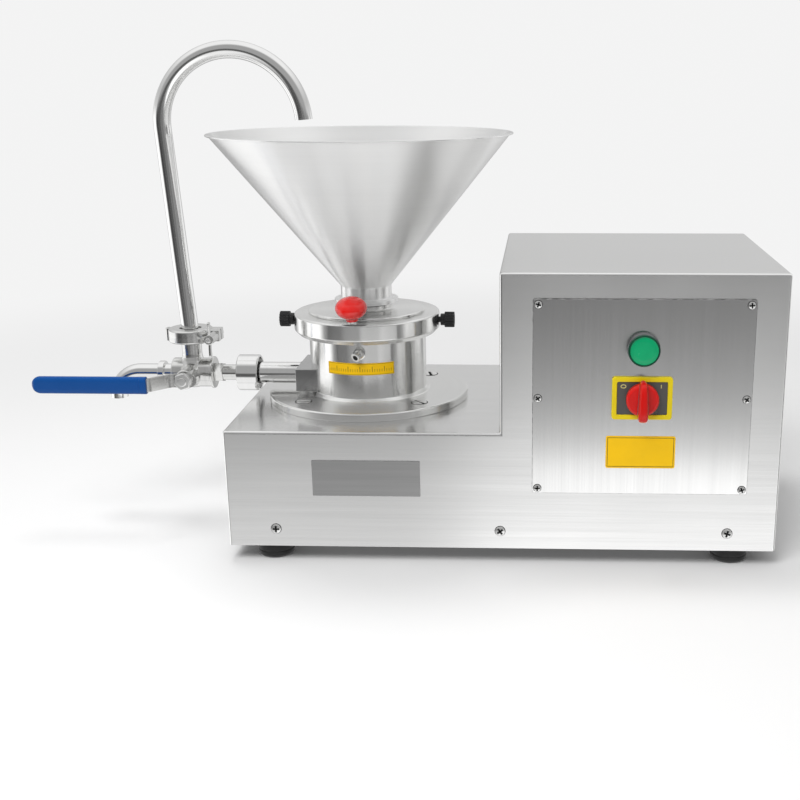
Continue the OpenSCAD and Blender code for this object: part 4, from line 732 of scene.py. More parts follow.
# A grooved foot with a hollow under it, its stud and its nut above the tray.
def makeFeet(size):
    r, h, g = size["reach"], size["height"], size["groove"]
    body = lathe([(0, 0.6), (r * 0.45, 0.6), (r * 0.5, 0), (r - 2, 0), (r, 2), (r, 5.2), (r - g, 5.8),
                  (r - g, 6.6), (r, 7.2), (r, h - 1.2), (r - 1, h), (0, h)],
                 radius=0.7, count=72, closed=False)
    stud = lathe(ringProfile(0, size["stud"] / 2, h - 1, h + size["studLength"]),
                 radius=0.4, count=32, closed=False, steps=2)
    nut = placed(plate(hexagon(size["nut"]), size["nutDepth"], 0.5), (0, 0, size["nutAt"]))
    spots = [(x, y, 0) for x in size["xs"] for y in size["ys"]]
    addPiece("rubberFeet", [placed(s, at) for at in spots for s in (body, stud, nut)], blackRubber, "feet")


makeFeet(foot)

panel = {"size": (200, 184), "corner": 2.5, "thickness": 2, "bevel": 0.45, "at": (cabinetX, -faceAt, 165)}
nameplate = {"size": (102, 35), "corner": 1.0, "thickness": 1, "bevel": 0.25, "at": (-126, -faceAt, 85)}
label = {"size": (64, 31), "corner": 2.0, "thickness": 0.6, "bevel": 0.15, "at": (cabinetX, -coverAt, 114),
         "line": 0.5, "inset": 1.6}


def flatPlate(size, upright=False):
    outline, _ = roundCorners(rectangle(*size["size"]), size["corner"], 5)
    shape = plate(outline, size["thickness"], size["bevel"])
    if upright:
        shape["grain"] = shape["grain"][:, [2, 1, 0]]
    return placed(shape, size["at"], "front")


addPiece("controlPanel", [flatPlate(panel, upright=True)], panelSteel, "control_panel")
addPiece("blankNameplate", [flatPlate(nameplate)], plateMetal, "nameplate")


# Printed film: a thin frame line inside the edge, where the distance to the edge lies in a narrow
# band; on the scale band, ticks where the length along it wraps round, every fifth one longer.
def printedFilm(name, colour, ink, half, inset, line, ticks=None):
    material, tree, shader = startMaterial(name)
    here = position(tree)
    across, _, along = parts(tree, attribute(tree, "grain"))
    if ticks:
        along = maths(tree, "SUBTRACT", along, half[0] * mm)
    farX = maths(tree, "SUBTRACT", maths(tree, "ABSOLUTE", along), half[0] * mm)
    farY = maths(tree, "SUBTRACT", maths(tree, "ABSOLUTE", across), half[1] * mm)
    depth = maths(tree, "MULTIPLY", maths(tree, "MAXIMUM", farX, farY), -1.0)
    offLine = maths(tree, "ABSOLUTE", maths(tree, "SUBTRACT", depth, inset * mm))
    mask = maths(tree, "LESS_THAN", offLine, line * mm / 2)
    if ticks:
        for every, width, low, high in ticks:
            turn = maths(tree, "PINGPONG", along, every * mm / 2)
            near = maths(tree, "LESS_THAN", turn, width * mm / 2)
            middle, reach = (low + high) / 2, (high - low) / 2
            level = maths(tree, "ABSOLUTE", maths(tree, "SUBTRACT", across, middle * mm))
            inside = maths(tree, "LESS_THAN", level, reach * mm)
            clear = maths(tree, "GREATER_THAN", depth, (inset + 1.2) * mm)
            mark = maths(tree, "MULTIPLY", maths(tree, "MULTIPLY", near, inside), clear)
            mask = maths(tree, "MAXIMUM", mask, mark)
    patches = placeGroup(tree, patchGroup, {"Vector": here, "Scale": 45.0})["Value"]
    film = mixColour(tree, patches, (*(c * 0.93 for c in colour), 1), (*colour, 1))
    feed(tree, shader.inputs, {"Base Color": mixColour(tree, mask, film, (*ink, 1)),
         "Roughness": remap(tree, patches, 0.30, 0.42), "Specular IOR Level": 0.25})
    addBump(tree, shader, 0.05, noise(tree, here, 1200.0, 2.0))
    return material


filmColour, inkColour = (1.0, 0.60, 0.001), (0.035, 0.030, 0.020)
labelHalf = (label["size"][0] / 2, label["size"][1] / 2)
labelFilm = printedFilm("labelFilm", filmColour, inkColour, labelHalf, label["inset"], label["line"])
addPiece("blankLabel", [flatPlate(label)], labelFilm, "panel_label")


# The uv map of a flat-sided mesh: u runs across the grain and v along it, chosen by each face's normal.
def boxUv(mesh):
    layer = mesh.uv_layers.new(name="surface")
    for face in mesh.polygons:
        n = [abs(v) for v in face.normal]
        across, along = (1, 0) if n[2] > facingShare else (2, 1) if n[0] > facingShare else (2, 0)
        for loop in face.loop_indices:
            at = mesh.vertices[mesh.loops[loop].vertex_index].co
            layer.data[loop].uv = (at[across] * sheetUv / mm, at[along] * sheetUv / mm)


# A copy of a flat-sided node: its triangles are merged and joined into whole faces, then bevelled.
def refined(name, node, material, bevel):
    work = bmesh.new()
    work.from_mesh(frame["nodes"][node].data)
    bmesh.ops.remove_doubles(work, verts=work.verts, dist=0.02 * mm)
    bmesh.ops.dissolve_limit(work, angle_limit=math.radians(1), verts=work.verts, edges=work.edges)
    mesh = bpy.data.meshes.new(name)
    work.to_mesh(mesh)
    work.free()
    mesh.shade_smooth()
    obj = linked(name, mesh, material)
    addBevel(obj, bevel, 2)
    bake(obj)
    boxUv(obj.data)
    standFor(obj, node)


refined("ventedCover", "back_cover", sheetSteel, 0.4)

gland = {"hex": 24.3, "dome": 9.9, "bore": 4.05, "thread": 9, "inside": 7}


def makeGland(size):
    x, _, z = cad("cable_gland")[2]
    r, b = size["dome"], size["bore"]
    back = plate(hexagon(size["hex"]), 6, 0.8)
    dome = lathe([(b, 4), (r, 4), (r, 14), (r - 3, 18), (b, 18)], radius=1.2, count=64,
                 ribs={"count": 16, "depth": 0.7, "low": 7, "high": 15, "inner": r - 2})
    inside = lathe(ringProfile(b, size["thread"], -size["inside"], 0), radius=0.4, count=48)
    nut = placed(plate(hexagon(size["hex"]), 4, 0.6), (x, faceAt - housing["sheet"], z), "front")
    shells = [placed(shape, (x, faceAt, z), "back") for shape in (back, dome, inside)]
    addPiece("cordGland", [*shells, nut], blackPlastic, "cable_gland")


makeGland(gland)
print("housing ready")


button = {"at": (cabinetX, 212), "bezelReach": 15, "capReach": 14.5, "lens": 12.6, "bore": 9.2,
          "thread": 11.1, "inside": 18, "nut": 29, "stem": 20.6, "rise": 3.8}
bezelMetal = metal("bezelMetal", (0.20, 0.205, 0.21), dark=0.8, rough=(0.14, 0.26), wearAndShade=0.8)


# A collar with its nut behind the panel; the cap's lens sits in a shallow groove.
def makeButton(size):
    (x, z), front = size["at"], -coverAt
    r, b, t, deep = size["bezelReach"], size["bore"], size["thread"], -size["inside"]
    bezel = lathe([(b, deep), (t, deep), (t, 0), (r, 0), (r, 2.6), (r - 1.2, 4), (b, 4)],
                  radius=0.5, count=96)
    nut = placed(plate(hexagon(size["nut"]), 5, 0.6), (x, front + panel["thickness"], z), "back")
    addPiece("buttonBezel", [placed(bezel, (x, front, z), "front"), nut], bezelMetal, "button_bezel")
    low = cad("button_cap")[0]
    r, lens, stem, top = size["capReach"], size["lens"], b - 0.3, size["rise"]
    cap = lathe([(0, 3.0), (lens * 0.7, 2.9), (lens - 0.4, 2.6), (lens, 2.9), (lens + 0.5, top),
                 (r - 0.4, top), (r, 3.2), (r, 0), (stem, 0), (stem, -size["stem"]), (0, -size["stem"])],
                radius=0.35, count=96, closed=False)
    addPiece("buttonCap", [placed(cap, (x, low[1] + top, z), "front")], greenLens(lens), "button_cap")


# Green lens in a dark green rim: the colour changes where the turned radius passes the lens's edge.
def greenLens(lens):
    material, tree, shader = startMaterial("greenLens")
    here = position(tree)
    outer = maths(tree, "GREATER_THAN", parts(tree, attribute(tree, "grain"))[0], (lens + 0.1) * mm)
    patches = placeGroup(tree, patchGroup, {"Vector": here, "Scale": 60.0})["Value"]
    lensColour = mixColour(tree, patches, (0.0, 0.34, 0.135, 1), (0.0, 0.40, 0.155, 1))
    feed(tree, shader.inputs, {"Base Color": mixColour(tree, outer, lensColour, (0.0, 0.055, 0.028, 1)),
         "Roughness": remap(tree, patches, 0.20, 0.28), "Specular IOR Level": 0.25,
         "Coat Weight": 0.2, "Coat Roughness": 0.1})
    addBump(tree, shader, 0.04, noise(tree, here, 900.0, 2.0))
    return material


makeButton(button)

switch = {"at": (cabinetX, 166), "frame": (55, 40), "face": (46, 31), "thickness": 3, "corner": 3.2,
          "faceAt": 1.4, "zero": (-17.2, 11.2, 2.3, 1.5), "one": (17.0, 9.6, 12.8), "ink": 0.36,
          "knobAt": 3.5, "knobReach": 15, "knobHeight": 8, "shaft": (4, 16),
          "gripLength": 38, "gripHeight": 16, "gripHalf": 4.5, "taper": 0.9, "sunk": 2}
markInk = moulded("markInk", (0.75, 0.70, 0.25), rough=0.5, wearAndShade=0)


# Frame, bed, face, and the two signs as thin rods: an ellipse and a straight line.
def makeSwitch(size):
    (x, z), front = size["at"], -coverAt
    outer, _ = roundCorners(rectangle(*size["frame"]), size["corner"], 8)
    inner, _ = roundCorners(rectangle(*size["face"]), size["corner"] * 0.45, 8)
    rim = plate(outer, size["thickness"], 0.7, hole=inner)
    bed = plate(inner * 1.001, size["faceAt"], 0.1)
    addPiece("switchFrame", [placed(shape, (x, front, z), "front") for shape in (rim, bed)],
             yellowPlastic, "switch_frame")
    face = placed(plate(inner * 0.996, 0.5, 0.15), (x, front - size["faceAt"], z), "front")
    addPiece("switchFace", [face], greyPlastic, "switch_face")
    t, y = np.linspace(0, 2 * np.pi, 49), front - size["faceAt"] - 0.55
    across, up, wide, tall = size["zero"]
    zero = np.stack([x + across + wide * np.cos(t), 0 * t + y, z + up + tall * np.sin(t)], -1)
    across, low, high = size["one"]
    one = np.array([(x + across, y, z + low), (x + across, y, z + high)])
    marks = [sweep(path, circle(size["ink"], 10)) for path in (zero, one)]
    addPiece("switchMarks", marks, markInk, "switch_face")


# The grip's width and height follow its length s, from -1 to 1: they lessen upwards and close at both
# ends as the cube root of 1 - s^6. Its crown is at cos a to the power 0.55, sin a to the power 0.42.
def makeKnob(size):
    x, z = size["at"]
    back = -coverAt - size["knobAt"]
    r, h, (shaft, deep) = size["knobReach"], size["knobHeight"], size["shaft"]
    base = lathe([(0, h), (r - 1.6, h), (r, h - 1.6), (r, 0.6), (r - 0.5, 0), (shaft, 0), (shaft, -deep),
                  (0, -deep)], radius=1.2, count=96, closed=False)
    s = np.linspace(-1, 1, 41)
    path = np.stack([0 * s, s * size["gripLength"] / 2, 0 * s], -1)
    end = np.maximum(np.maximum(1 - np.abs(s) ** 6, 0) ** (1 / 3.0), 0.02)
    half = size["gripHalf"]
    width = (half - size["taper"] * s) / half * end
    tall = size["gripHeight"] * (1 - 0.20 * (s * 0.5 + 0.5) ** 2) * end
    a = np.linspace(0, np.pi, 17)
    crown = np.stack([half * np.sign(np.cos(a)) * np.abs(np.cos(a)) ** 0.55, np.sin(a) ** 0.42], -1)
    grip = sweep(path, crown, side=(-1, 0, 0), grow=np.stack([width, tall], -1))
    grip["verts"][:, 2] += h - size["sunk"]
    addPiece("switchKnob", [placed(shape, (x, back, z), "front") for shape in (base, grip)],
             redPlastic, "switch_knob")


makeSwitch(switch)
makeKnob(switch)
print("controls ready")


head = {"x": -140, "flange": 102, "body": 59, "chamber": 46, "neck": 56, "bore": 14.5, "recess": 35,
        "deck": housing["deck"], "flangeTop": 138, "floor": 142, "neckLow": 197.3, "neckTop": 213.7}
block = {"low": (-210, 141.5), "high": (-187, 164.5), "half": 33, "bevel": 0.9}


def onHead(shell):
    return placed(shell, (head["x"], 0, 0))


# The matrix that turns a shell's own up-axis into a direction, for pieces that stand askew.
def leaning(direction, at):
    z = np.asarray(direction, float)
    z = z / np.linalg.norm(z)
    x = np.cross((0, 1, 0), z)
    x = x / np.linalg.norm(x)
    turn = np.eye(4)
    turn[:3, :3] = np.stack([x, np.cross(z, x), z], -1)
    turn[:3, 3] = at
    return turn


# Flange, body and neck are one turned piece; the square outlet block stands beside it.
def makeMillBody(size):
    r, f, c, n, b = size["body"], size["flange"], size["chamber"], size["neck"], size["bore"]
    z0, z1, z2, z3, z4 = (size[k] for k in ("deck", "flangeTop", "floor", "neckLow", "neckTop"))
    body = lathe([(b, z0 + 4), (size["recess"], z0 + 4), (size["recess"], z0), (f, z0), (f, z1 - 1.1),
                  (f - 1.1, z1), (r + 3.2, z1), (r, z1 + 3.2), (r, z3), (n, z3), (n, z4), (c, z4),
                  (c, z2), (b, z2)], radius=0.9, count=224)
    addPiece("millBody", [onHead(body)], turnedSteel, "mill_body")


makeMillBody(head)


def makeBlock(size):
    (x0, z0), (x1, z1) = size["low"], size["high"]
    outline, _ = roundCorners(rectangle(x1 - x0, z1 - z0), size["bevel"], 4)
    shape = plate(outline, 2 * size["half"], size["bevel"])
    shape["grain"] = shape["grain"][:, [1, 2, 0]]
    body = placed(shape, ((x0 + x1) / 2, size["half"], (z0 + z1) / 2), "front")
    addPiece("outletBlock", [body], shadedBlockSteel, "mill_body")


makeBlock(block)

flangeBolt = {"head": 15.6, "height": 3.0, "dome": 0.14, "shank": 8, "length": 14, "reach": 81.5, "z": 136,
              "slot": (3.0, 1.3), "shadePlate": 3.3, "sunk": 1.9, "rim": 2.15}


# A black plate in each slot and a black collar round each head are painted shade.
def makeFlangeBolts(size):
    shape = screw(size, slotDip(*size["slot"]))
    h = size["head"] / 2
    rim = lathe(ringProfile(h - 0.1, h + 0.6, 0, size["rim"]), radius=0.1, count=64)
    shadePlate = placed(plate(rectangle(2 * h - 1.2, size["shadePlate"]), 1.0, 0.05, steps=1),
                  (0, 0, size["height"] - size["sunk"]))
    shells, dark = [], []
    for k in range(4):
        a = math.radians(45 + 90 * k)
        at = (head["x"] + size["reach"] * math.cos(a), size["reach"] * math.sin(a), size["z"])
        spin = -75 - 50 * k  # each slot turned by its own angle
        shells.append(placed(shape, at, spin=spin))
        dark += [placed(shadePlate, at, spin=spin), placed(rim, at)]
    addPiece("flangeBoltSet", shells, screwSteel, "flange_bolts")
    addPiece("flangeBoltShadePlates", dark, shadeBlack, "flange_bolts")


makeFlangeBolts(flangeBolt)

nipple = {"z": 187.4, "root": 4.5, "collar": 6, "ball": 5, "bore": 2.7, "length": 7, "inner": 44,
          "wall": 59.2, "front": 61.9, "ballAt": 61.5, "points": (-0.4226, -0.8214, -0.3830)}


# A sleeve into the wall, a ball with r = b sin a and h = -b cos a, and a nozzle that leans out of it.
def makeNipple(size):
    root, collar, ball, b, n = (size[k] for k in ("root", "collar", "ball", "bore", "length"))
    inner, wall, front = size["inner"], size["wall"], size["front"]
    a = np.linspace(0, np.pi, 15)
    base = lathe([(0, inner), (root, inner), (root, wall), (collar, wall), (collar, front - 0.2),
                  (root, front), (0, front)], radius=0.3, count=48, closed=False)
    sphere = lathe(np.stack([ball * np.sin(a), -ball * np.cos(a)], -1), radius=0, count=40, closed=False)
    nozzle = lathe([(b, 1), (4.4, 1), (4.4, 5.6), (4.7, 5.8), (4.7, n), (b, n)], radius=0.3, count=48)
    # A black disc a little inside the nozzle's mouth is painted shade in its bore.
    boreShade = lathe(ringProfile(0, b, 1, n - 1.0), radius=0, count=24, closed=False)
    at = (head["x"], -size["ballAt"], size["z"])
    turn = leaning(size["points"], at)
    addPiece("coolingNipple", [placed(base, (head["x"], 0, size["z"]), "front"), placed(sphere, at),
             placed(nozzle, matrix=turn)], castSteel, "cooling_nipple")
    addPiece("nippleBoreShade", [placed(boreShade, matrix=turn)], blackRubber, "cooling_nipple")


makeNipple(nipple)

# Each tick: how often, how wide, and from what height to what height on the band.
band = {"reach": 59.32, "half": 33, "low": 165.5, "high": 177.5, "thickness": 0.6, "inset": 0.7,
        "line": 0.3, "ticks": [(2.4, 0.36, -2.6, 0.2), (12.0, 0.5, -2.6, 2.6)]}


# Points on the arc x = r sin a, y = -r cos a, with the band's section standing across it.
def makeBand(size):
    a = np.radians(np.linspace(-size["half"], size["half"], 49))
    r, z = size["reach"], (size["low"] + size["high"]) / 2
    path = np.stack([head["x"] + r * np.sin(a), -r * np.cos(a), z + 0 * a], -1)
    height = size["high"] - size["low"]
    outline, _ = roundCorners(rectangle(height, size["thickness"]), 0.15, 2)
    half = (r * math.radians(size["half"]), height / 2)
    film = printedFilm("bandFilm", filmColour, inkColour, half, size["inset"], size["line"],
                       size["ticks"])
    addPiece("scaleBand", [sweep(path, outline, side=(0, 0, 1))], film, "scale_band")


makeBand(band)

ring = {"reach": 73.5, "low": 197.6, "top": 218.8, "chamfer": 5, "bore": 56.05, "feed": 21, "plate": 214}
cover = {"reach": 59, "top": 221.8, "boss": 26, "bossTop": 226.8, "bore": 19.97}


def makeRing(size):
    r, z0, z1, c = size["reach"], size["low"], size["top"], size["chamfer"]
    body = lathe([(size["bore"], z0), (r - c, z0), (r, z0 + c), (r, z1 - 1.5), (r - 1.5, z1),
                  (size["feed"], z1), (size["feed"], size["plate"]), (size["bore"], size["plate"])],
                 radius=0.8, count=256)
    addPiece("adjustingRing", [onHead(body)], turnedSteel, "adjusting_ring")


def makeCover(size):
    r, low, top, b = size["reach"], ring["top"], size["top"], size["boss"]
    body = lathe([(size["bore"], low), (r - 0.5, low), (r, low + 0.5), (r, top - 0.8), (r - 0.8, top),
                  (b + 1.2, top), (b, top + 1.2), (b, size["bossTop"]), (size["bore"], size["bossTop"])],
                 radius=0.5, count=224)
    addPiece("ringCover", [onHead(body)], turnedSteel, "ring_cover")


makeRing(ring)
makeCover(cover)

ball = {"reach": 66.25, "turn": 4, "z": 218.8, "lean": 10, "rise": 16, "half": (15.5, 10.8),
        "stud": (4, -4, 5), "collar": 6}


# The ball is an ellipse turned about the stud: r = a sin t, h = rise - b cos t.
def makeBallKnob(size):
    lean, side = math.radians(size["lean"]), math.radians(size["turn"])
    out = np.array([-math.sin(side), -math.cos(side), 0])
    at = np.array([head["x"], 0, size["z"]]) + size["reach"] * out
    turn = leaning(out * math.sin(lean) + (0, 0, math.cos(lean)), at)
    stud = lathe(ringProfile(0, *size["stud"]), radius=0.3, count=40, closed=False)
    addPiece("ballStud", [placed(stud, matrix=turn)], screwSteel, "adjusting_stud")
    t = np.linspace(0.42, np.pi, 40)
    a, b = size["half"]
    oval = np.stack([a * np.sin(t), size["rise"] - b * np.cos(t)], -1)
    foot = [(0, 3.0), (size["collar"] - 0.4, 3.0), (size["collar"], 3.4)]
    body = lathe(np.concatenate([foot, oval]), radius=0.25, count=112, closed=False, steps=2)
    addPiece("ballKnob", [placed(body, matrix=turn)], redKnobPlastic, "adjusting_knob")


makeBallKnob(ball)

lock = {"z": 209.8, "reach": 73.5, "stud": 3, "inside": 17.2, "out": 1.5, "collar": (6, 4.2),
        "knob": (8, 9.8), "ribs": 16, "ribDepth": 0.9}


# One shape for both: shank, collar and a ribbed knob with a hollow end.
def makeLockScrews(size):
    (rc, lc), (rk, lk) = size["collar"], size["knob"]
    s, out = size["stud"], size["out"]
    end = out + lc + lk
    near = out + lc
    shape = lathe([(0, -size["inside"]), (s, -size["inside"]), (s, out), (rc, out), (rc, near), (rk, near),
                   (rk, near + 1.6), (rk, end - 1.6), (rk, end), (rk - 2.4, end), (rk - 3.2, end - 0.7),
                   (0, end - 0.7)], radius=0.6, count=192, closed=False,
                  ribs={"count": size["ribs"], "depth": size["ribDepth"], "low": near + 0.3,
                        "high": end + 1, "inner": rk - 1.2})
    for side, face, name in ((-1, "left", "Left"), (1, "right", "Right")):
        at = (head["x"] + side * size["reach"], 0, size["z"])
        addPiece("lockScrew" + name, [placed(shape, at, face)], blackPlastic, "lock_screw_" + face)


makeLockScrews(lock)

hopper = {"spigot": (17.55, 19.95), "flange": 32, "neck": 25.5, "wall": 1.5, "rim": 149, "lip": 146,
          "bead": 0.8, "z": (218.8, 228.5, 232.5, 245.5, 395)}
seal = {"inner": 19.97, "outer": 25}


# The cone's rim is rolled round a bead: r = rim - b + b cos a, h = top - b + b sin a.
def makeHopper(size):
    inner, outer = size["spigot"]
    z0, z1, z2, z3, z4 = size["z"]
    n, w, rim, lip, f, b = (size[k] for k in ("neck", "wall", "rim", "lip", "flange", "bead"))
    a = np.linspace(-np.pi / 2, np.pi / 2, 9)
    roll = np.stack([rim - b + b * np.cos(a), z4 - b + b * np.sin(a)], -1)
    body = lathe([(inner, z0), (outer, z0), (outer, z1), (f, z1), (f, z2), (n + 1.2, z2), (n, z2 + 1.2),
                  (n, z3), (lip, z4 - 2 * b), *roll, (lip - w - 0.6, z4), (n - w, z3), (n - w, z2),
                  (inner, z1)], radius=0.8, count=288)
    addPiece("coneHopper", [onHead(body)], hopperSteel, "hopper")


def makeSeal(size):
    profile = ringProfile(size["inner"], size["outer"], cover["bossTop"], hopper["z"][1])
    addPiece("hopperSeal", [onHead(lathe(profile, radius=0.3, count=96))], blackRubber, "hopper_gasket")


makeHopper(hopper)
makeSeal(seal)
print("head and hopper ready")


axis = 153.0  # the height of the pipe through the valve
outlet = {"start": -210, "radius": 11, "bore": 7, "length": 51, "ferrule": 14.5, "end": 53.98}
union = {"start": -253, "radius": 18.5, "length": 22, "cup": 16, "depth": 5, "step": 8, "fit": 0.02}


def onAxis(shell, x, face):
    return placed(shell, (x, 0, axis), face)


def makeOutlet(size):
    r, b, n = size["radius"], size["bore"], size["length"]
    f, end = size["ferrule"], size["end"]
    pipe = lathe([(b, 0), (r + 0.8, 0), (r, 0.8), (r, n), (f, n), (f, end), (b, end)],
                 radius=0.4, count=128)
    addPiece("outletPipe", [onAxis(pipe, size["start"], "left")], pipeSteel, "outlet_pipe")


# A ring over the outlet's ferrule, open as a shallow cup towards the mill.
def makeUnion(size):
    r, n, c, d, step = (size[k] for k in ("radius", "length", "cup", "depth", "step"))
    small, large = outlet["radius"] + size["fit"], outlet["ferrule"] + size["fit"]
    cup = lathe([(small, d), (c, d), (c, 0.3), (c + 0.3, 0), (r - 0.8, 0), (r, 0.8), (r, n - 0.8),
                 (r - 0.8, n), (large, n), (large, step), (small, step)], radius=0.4, count=144)
    addPiece("unionRing", [onAxis(cup, size["start"], "left")], pipeSteel, "union_ring")


makeOutlet(outlet)
makeUnion(union)

valve = {"x": -323, "radius": 15, "half": 20, "disc": 16.5, "hexagon": 21, "tail": 8, "bore": 6,
         "end": (14.5, 48, 58.98), "neck": 10, "ferrule": 18, "plate": 3, "boss": 10, "stemBore": 4.6,
         "port": cad("valve_body")[1][2] - axis, "stem": -cad("valve_body")[0][1]}


# Barrel, hexagon, upper port and stem boss; the barrel swells by a millimetre at its middle.
def makeValve(size):
    x, r, h, b, d, tail = (size[k] for k in ("x", "radius", "half", "bore", "disc", "tail"))
    e, near, far = size["end"]
    body = lathe([(b, -h), (r - 0.8, -h), (r, -h + 0.8), (r, -7), (r + 0.75, -3.5), (r + 1, 0),
                  (r + 0.75, 3.5), (r, 7), (r, h), (d - 0.5, h), (d, h + 0.5), (d, h + 2.4), (d - 0.6, h + 3),
                  (tail, h + 3), (tail, near), (e, near), (e, far), (b, far)], radius=0.9, count=128)
    nut = plate(hexagon(size["hexagon"], 15), 9, 0.7)
    f, n, top, under = size["ferrule"], size["neck"], size["port"], size["port"] - size["plate"]
    port = lathe([(b, 9), (r - 1, 9), (r - 3.5, 13.5), (n + 0.4, 17), (n, 20), (n, under), (f, under),
                  (f, top), (b, top)], radius=0.7, count=112)
    s, end, c = size["boss"], size["stem"], size["stemBore"]
    boss = lathe([(c, 9), (s + 3, 9), (s + 1, 15), (s, 18), (s, end - 1), (s - 1, end), (c, end)],
                 radius=0.7, count=96)
    addPiece("valveCasting", [onAxis(body, x, "right"), onAxis(nut, x + h + 3, "right"),
             onAxis(port, x, "up"), onAxis(boss, x, "front")], castSteel, "valve_body")


makeValve(valve)

stem = {"radius": 4.5, "nut": 18, "nutDepth": 5, "washer": 8.2}
lever = {"width": 14, "thickness": 3, "end": 13, "bendStart": 13, "bendEnd": 31, "tip": 139, "radius": 5}
grip = {"height": 17.5, "thickness": 8, "collar": 7}


def makeStem(size):
    low, high, _ = cad("valve_stem")
    back, r = high[1], size["radius"]
    rod = lathe(ringProfile(0, r, 0, back - low[1]), radius=0.8, count=48, closed=False)
    nutBack = cad("valve_handle")[1][1] - lever["thickness"]
    nut = plate(hexagon(size["nut"], 18), size["nutDepth"], 0.9)
    washer = lathe(ringProfile(r, size["washer"], 0, 0.8), radius=0.2, count=48)
    addPiece("valveStem", [placed(shape, (valve["x"], y, axis), "front")
             for shape, y in ((rod, back), (nut, nutBack), (washer, nutBack))], screwSteel, "valve_stem")


makeStem(stem)


# The strip's line runs level, bends out and runs level again; its height closes in round at both ends
# as the square root of 1 - (1 - u)^2, with u the distance from the end over half the width.
def makeLever(size):
    low, high, _ = cad("valve_handle")
    t, x = size["thickness"], valve["x"]
    near, far = high[1] - t / 2, low[1] + t / 2
    corners = [(x + size["end"], near, axis), (x - size["bendStart"], near, axis),
               (x - size["bendEnd"], far, axis), (x - size["tip"], far, axis)]
    bent, _ = roundCorners(corners, size["radius"], 8, closed=False)
    ends = np.array([0, 0.02, 0.15, 0.4, 0.9, 1.7, 3, 5, 7])
    first = bent[0] - np.outer(ends, (1, 0, 0))
    last = bent[-1] + np.outer(ends[::-1], (1, 0, 0))
    path = np.concatenate([first, bent[1:-1], last])
    gone = np.minimum(path[0, 0] - path[:, 0], path[:, 0] - path[-1, 0]) / (size["width"] / 2)
    close = np.sqrt(np.clip(1 - (1 - np.clip(gone, 0, 1)) ** 2, 0.004, 1))
    section, _ = roundCorners(rectangle(size["width"], t), 0.5, 3)
    strip = sweep(path, section, side=(0, 0, 1), grow=np.stack([close, 1 + 0 * close], -1))
    addPiece("leverStrip", [strip], handleSteel, "valve_handle")


makeLever(lever)


# The section is a flattened oval, |a|^4 + |b|^2.4 = 1 drawn to half height and half thickness; the tip
# closes round as the lever's ends do, and the collar by the strip is thicker.
def makeGrip(size):
    low, high, mid = cad("handle_grip")
    long = high[0] - low[0]
    u = np.concatenate([[0, 0.05, 0.3, 0.9, 1.8, 3, 4.5, 6.2, 8], np.linspace(12, long - 12, 21),
                        long - np.array([7.6, 7, 6.4, 3, 0.8, 0.2, 0])])
    half = size["height"] / 2
    close = np.sqrt(np.clip(1 - (1 - np.clip(u / half, 0, 1)) ** 2, 0.003, 1))
    tip = np.minimum(1, 0.55 + 0.45 * np.sqrt(np.clip(u / 4.0, 0, 1)))
    thick = np.where(u > long - size["collar"], 1.2, 1.0)
    endIn = np.where(u > long - 0.5, 0.93, 1.0)
    grow = np.stack([close * endIn, tip * np.minimum(close * 1.4, 1) * thick * endIn], -1)
    t = np.linspace(0, 2 * np.pi, 48, endpoint=False)
    oval = lambda v, p: np.sign(v) * np.abs(v) ** (2 / p)
    section = np.stack([half * oval(np.cos(t), 4.0), size["thickness"] / 2 * oval(np.sin(t), 2.4)], -1)
    path = np.stack([low[0] + u, mid[1] + 0 * u, mid[2] + 0 * u], -1)
    body = sweep(path, section, side=(0, 0, 1), grow=grow)
    addPiece("leverGrip", [body], blueVinyl, "handle_grip")


makeGrip(grip)

spout = {"start": -343, "radius": 8.5, "bore": 6.7, "bend": 25, "collar": (8.4, 11.5, 9, 6)}
returnPipe = {"radius": 8.5, "bore": 6.7, "ferrule": 18, "plate": 3, "lean": 3.4, "arch": 70, "turn": 180}


# A level run, then a quarter circle x = bend - r sin a, z = axis - r + r cos a, then straight down.
def makeSpout(size):
    low = cad("discharge_spout")[0]
    endX = low[0] + size["radius"]
    bendX, r = endX + size["bend"], size["bend"]
    a = np.linspace(0, np.pi / 2, 25)
    line = np.linspace(size["start"], bendX, 9)
    level = np.stack([line, 0 * line, axis + 0 * line], -1)
    turn = np.stack([bendX - r * np.sin(a), 0 * a, axis - r + r * np.cos(a)], -1)
    down = np.array([(endX, 0, (axis - r + low[2]) / 2), (endX, 0, low[2])])
    path = np.concatenate([level, turn[1:], down])
    tube = sweep(path, circle(size["radius"], 56), inner=circle(size["bore"], 56))
    inner, outer, gap, wide = size["collar"]
    collar = lathe(ringProfile(inner, outer, 0, wide), radius=0.6, count=80)
    addPiece("dischargeSpout", [tube, onAxis(collar, size["start"] - gap, "left")],
             pipeSteel, "discharge_spout")


makeSpout(spout)


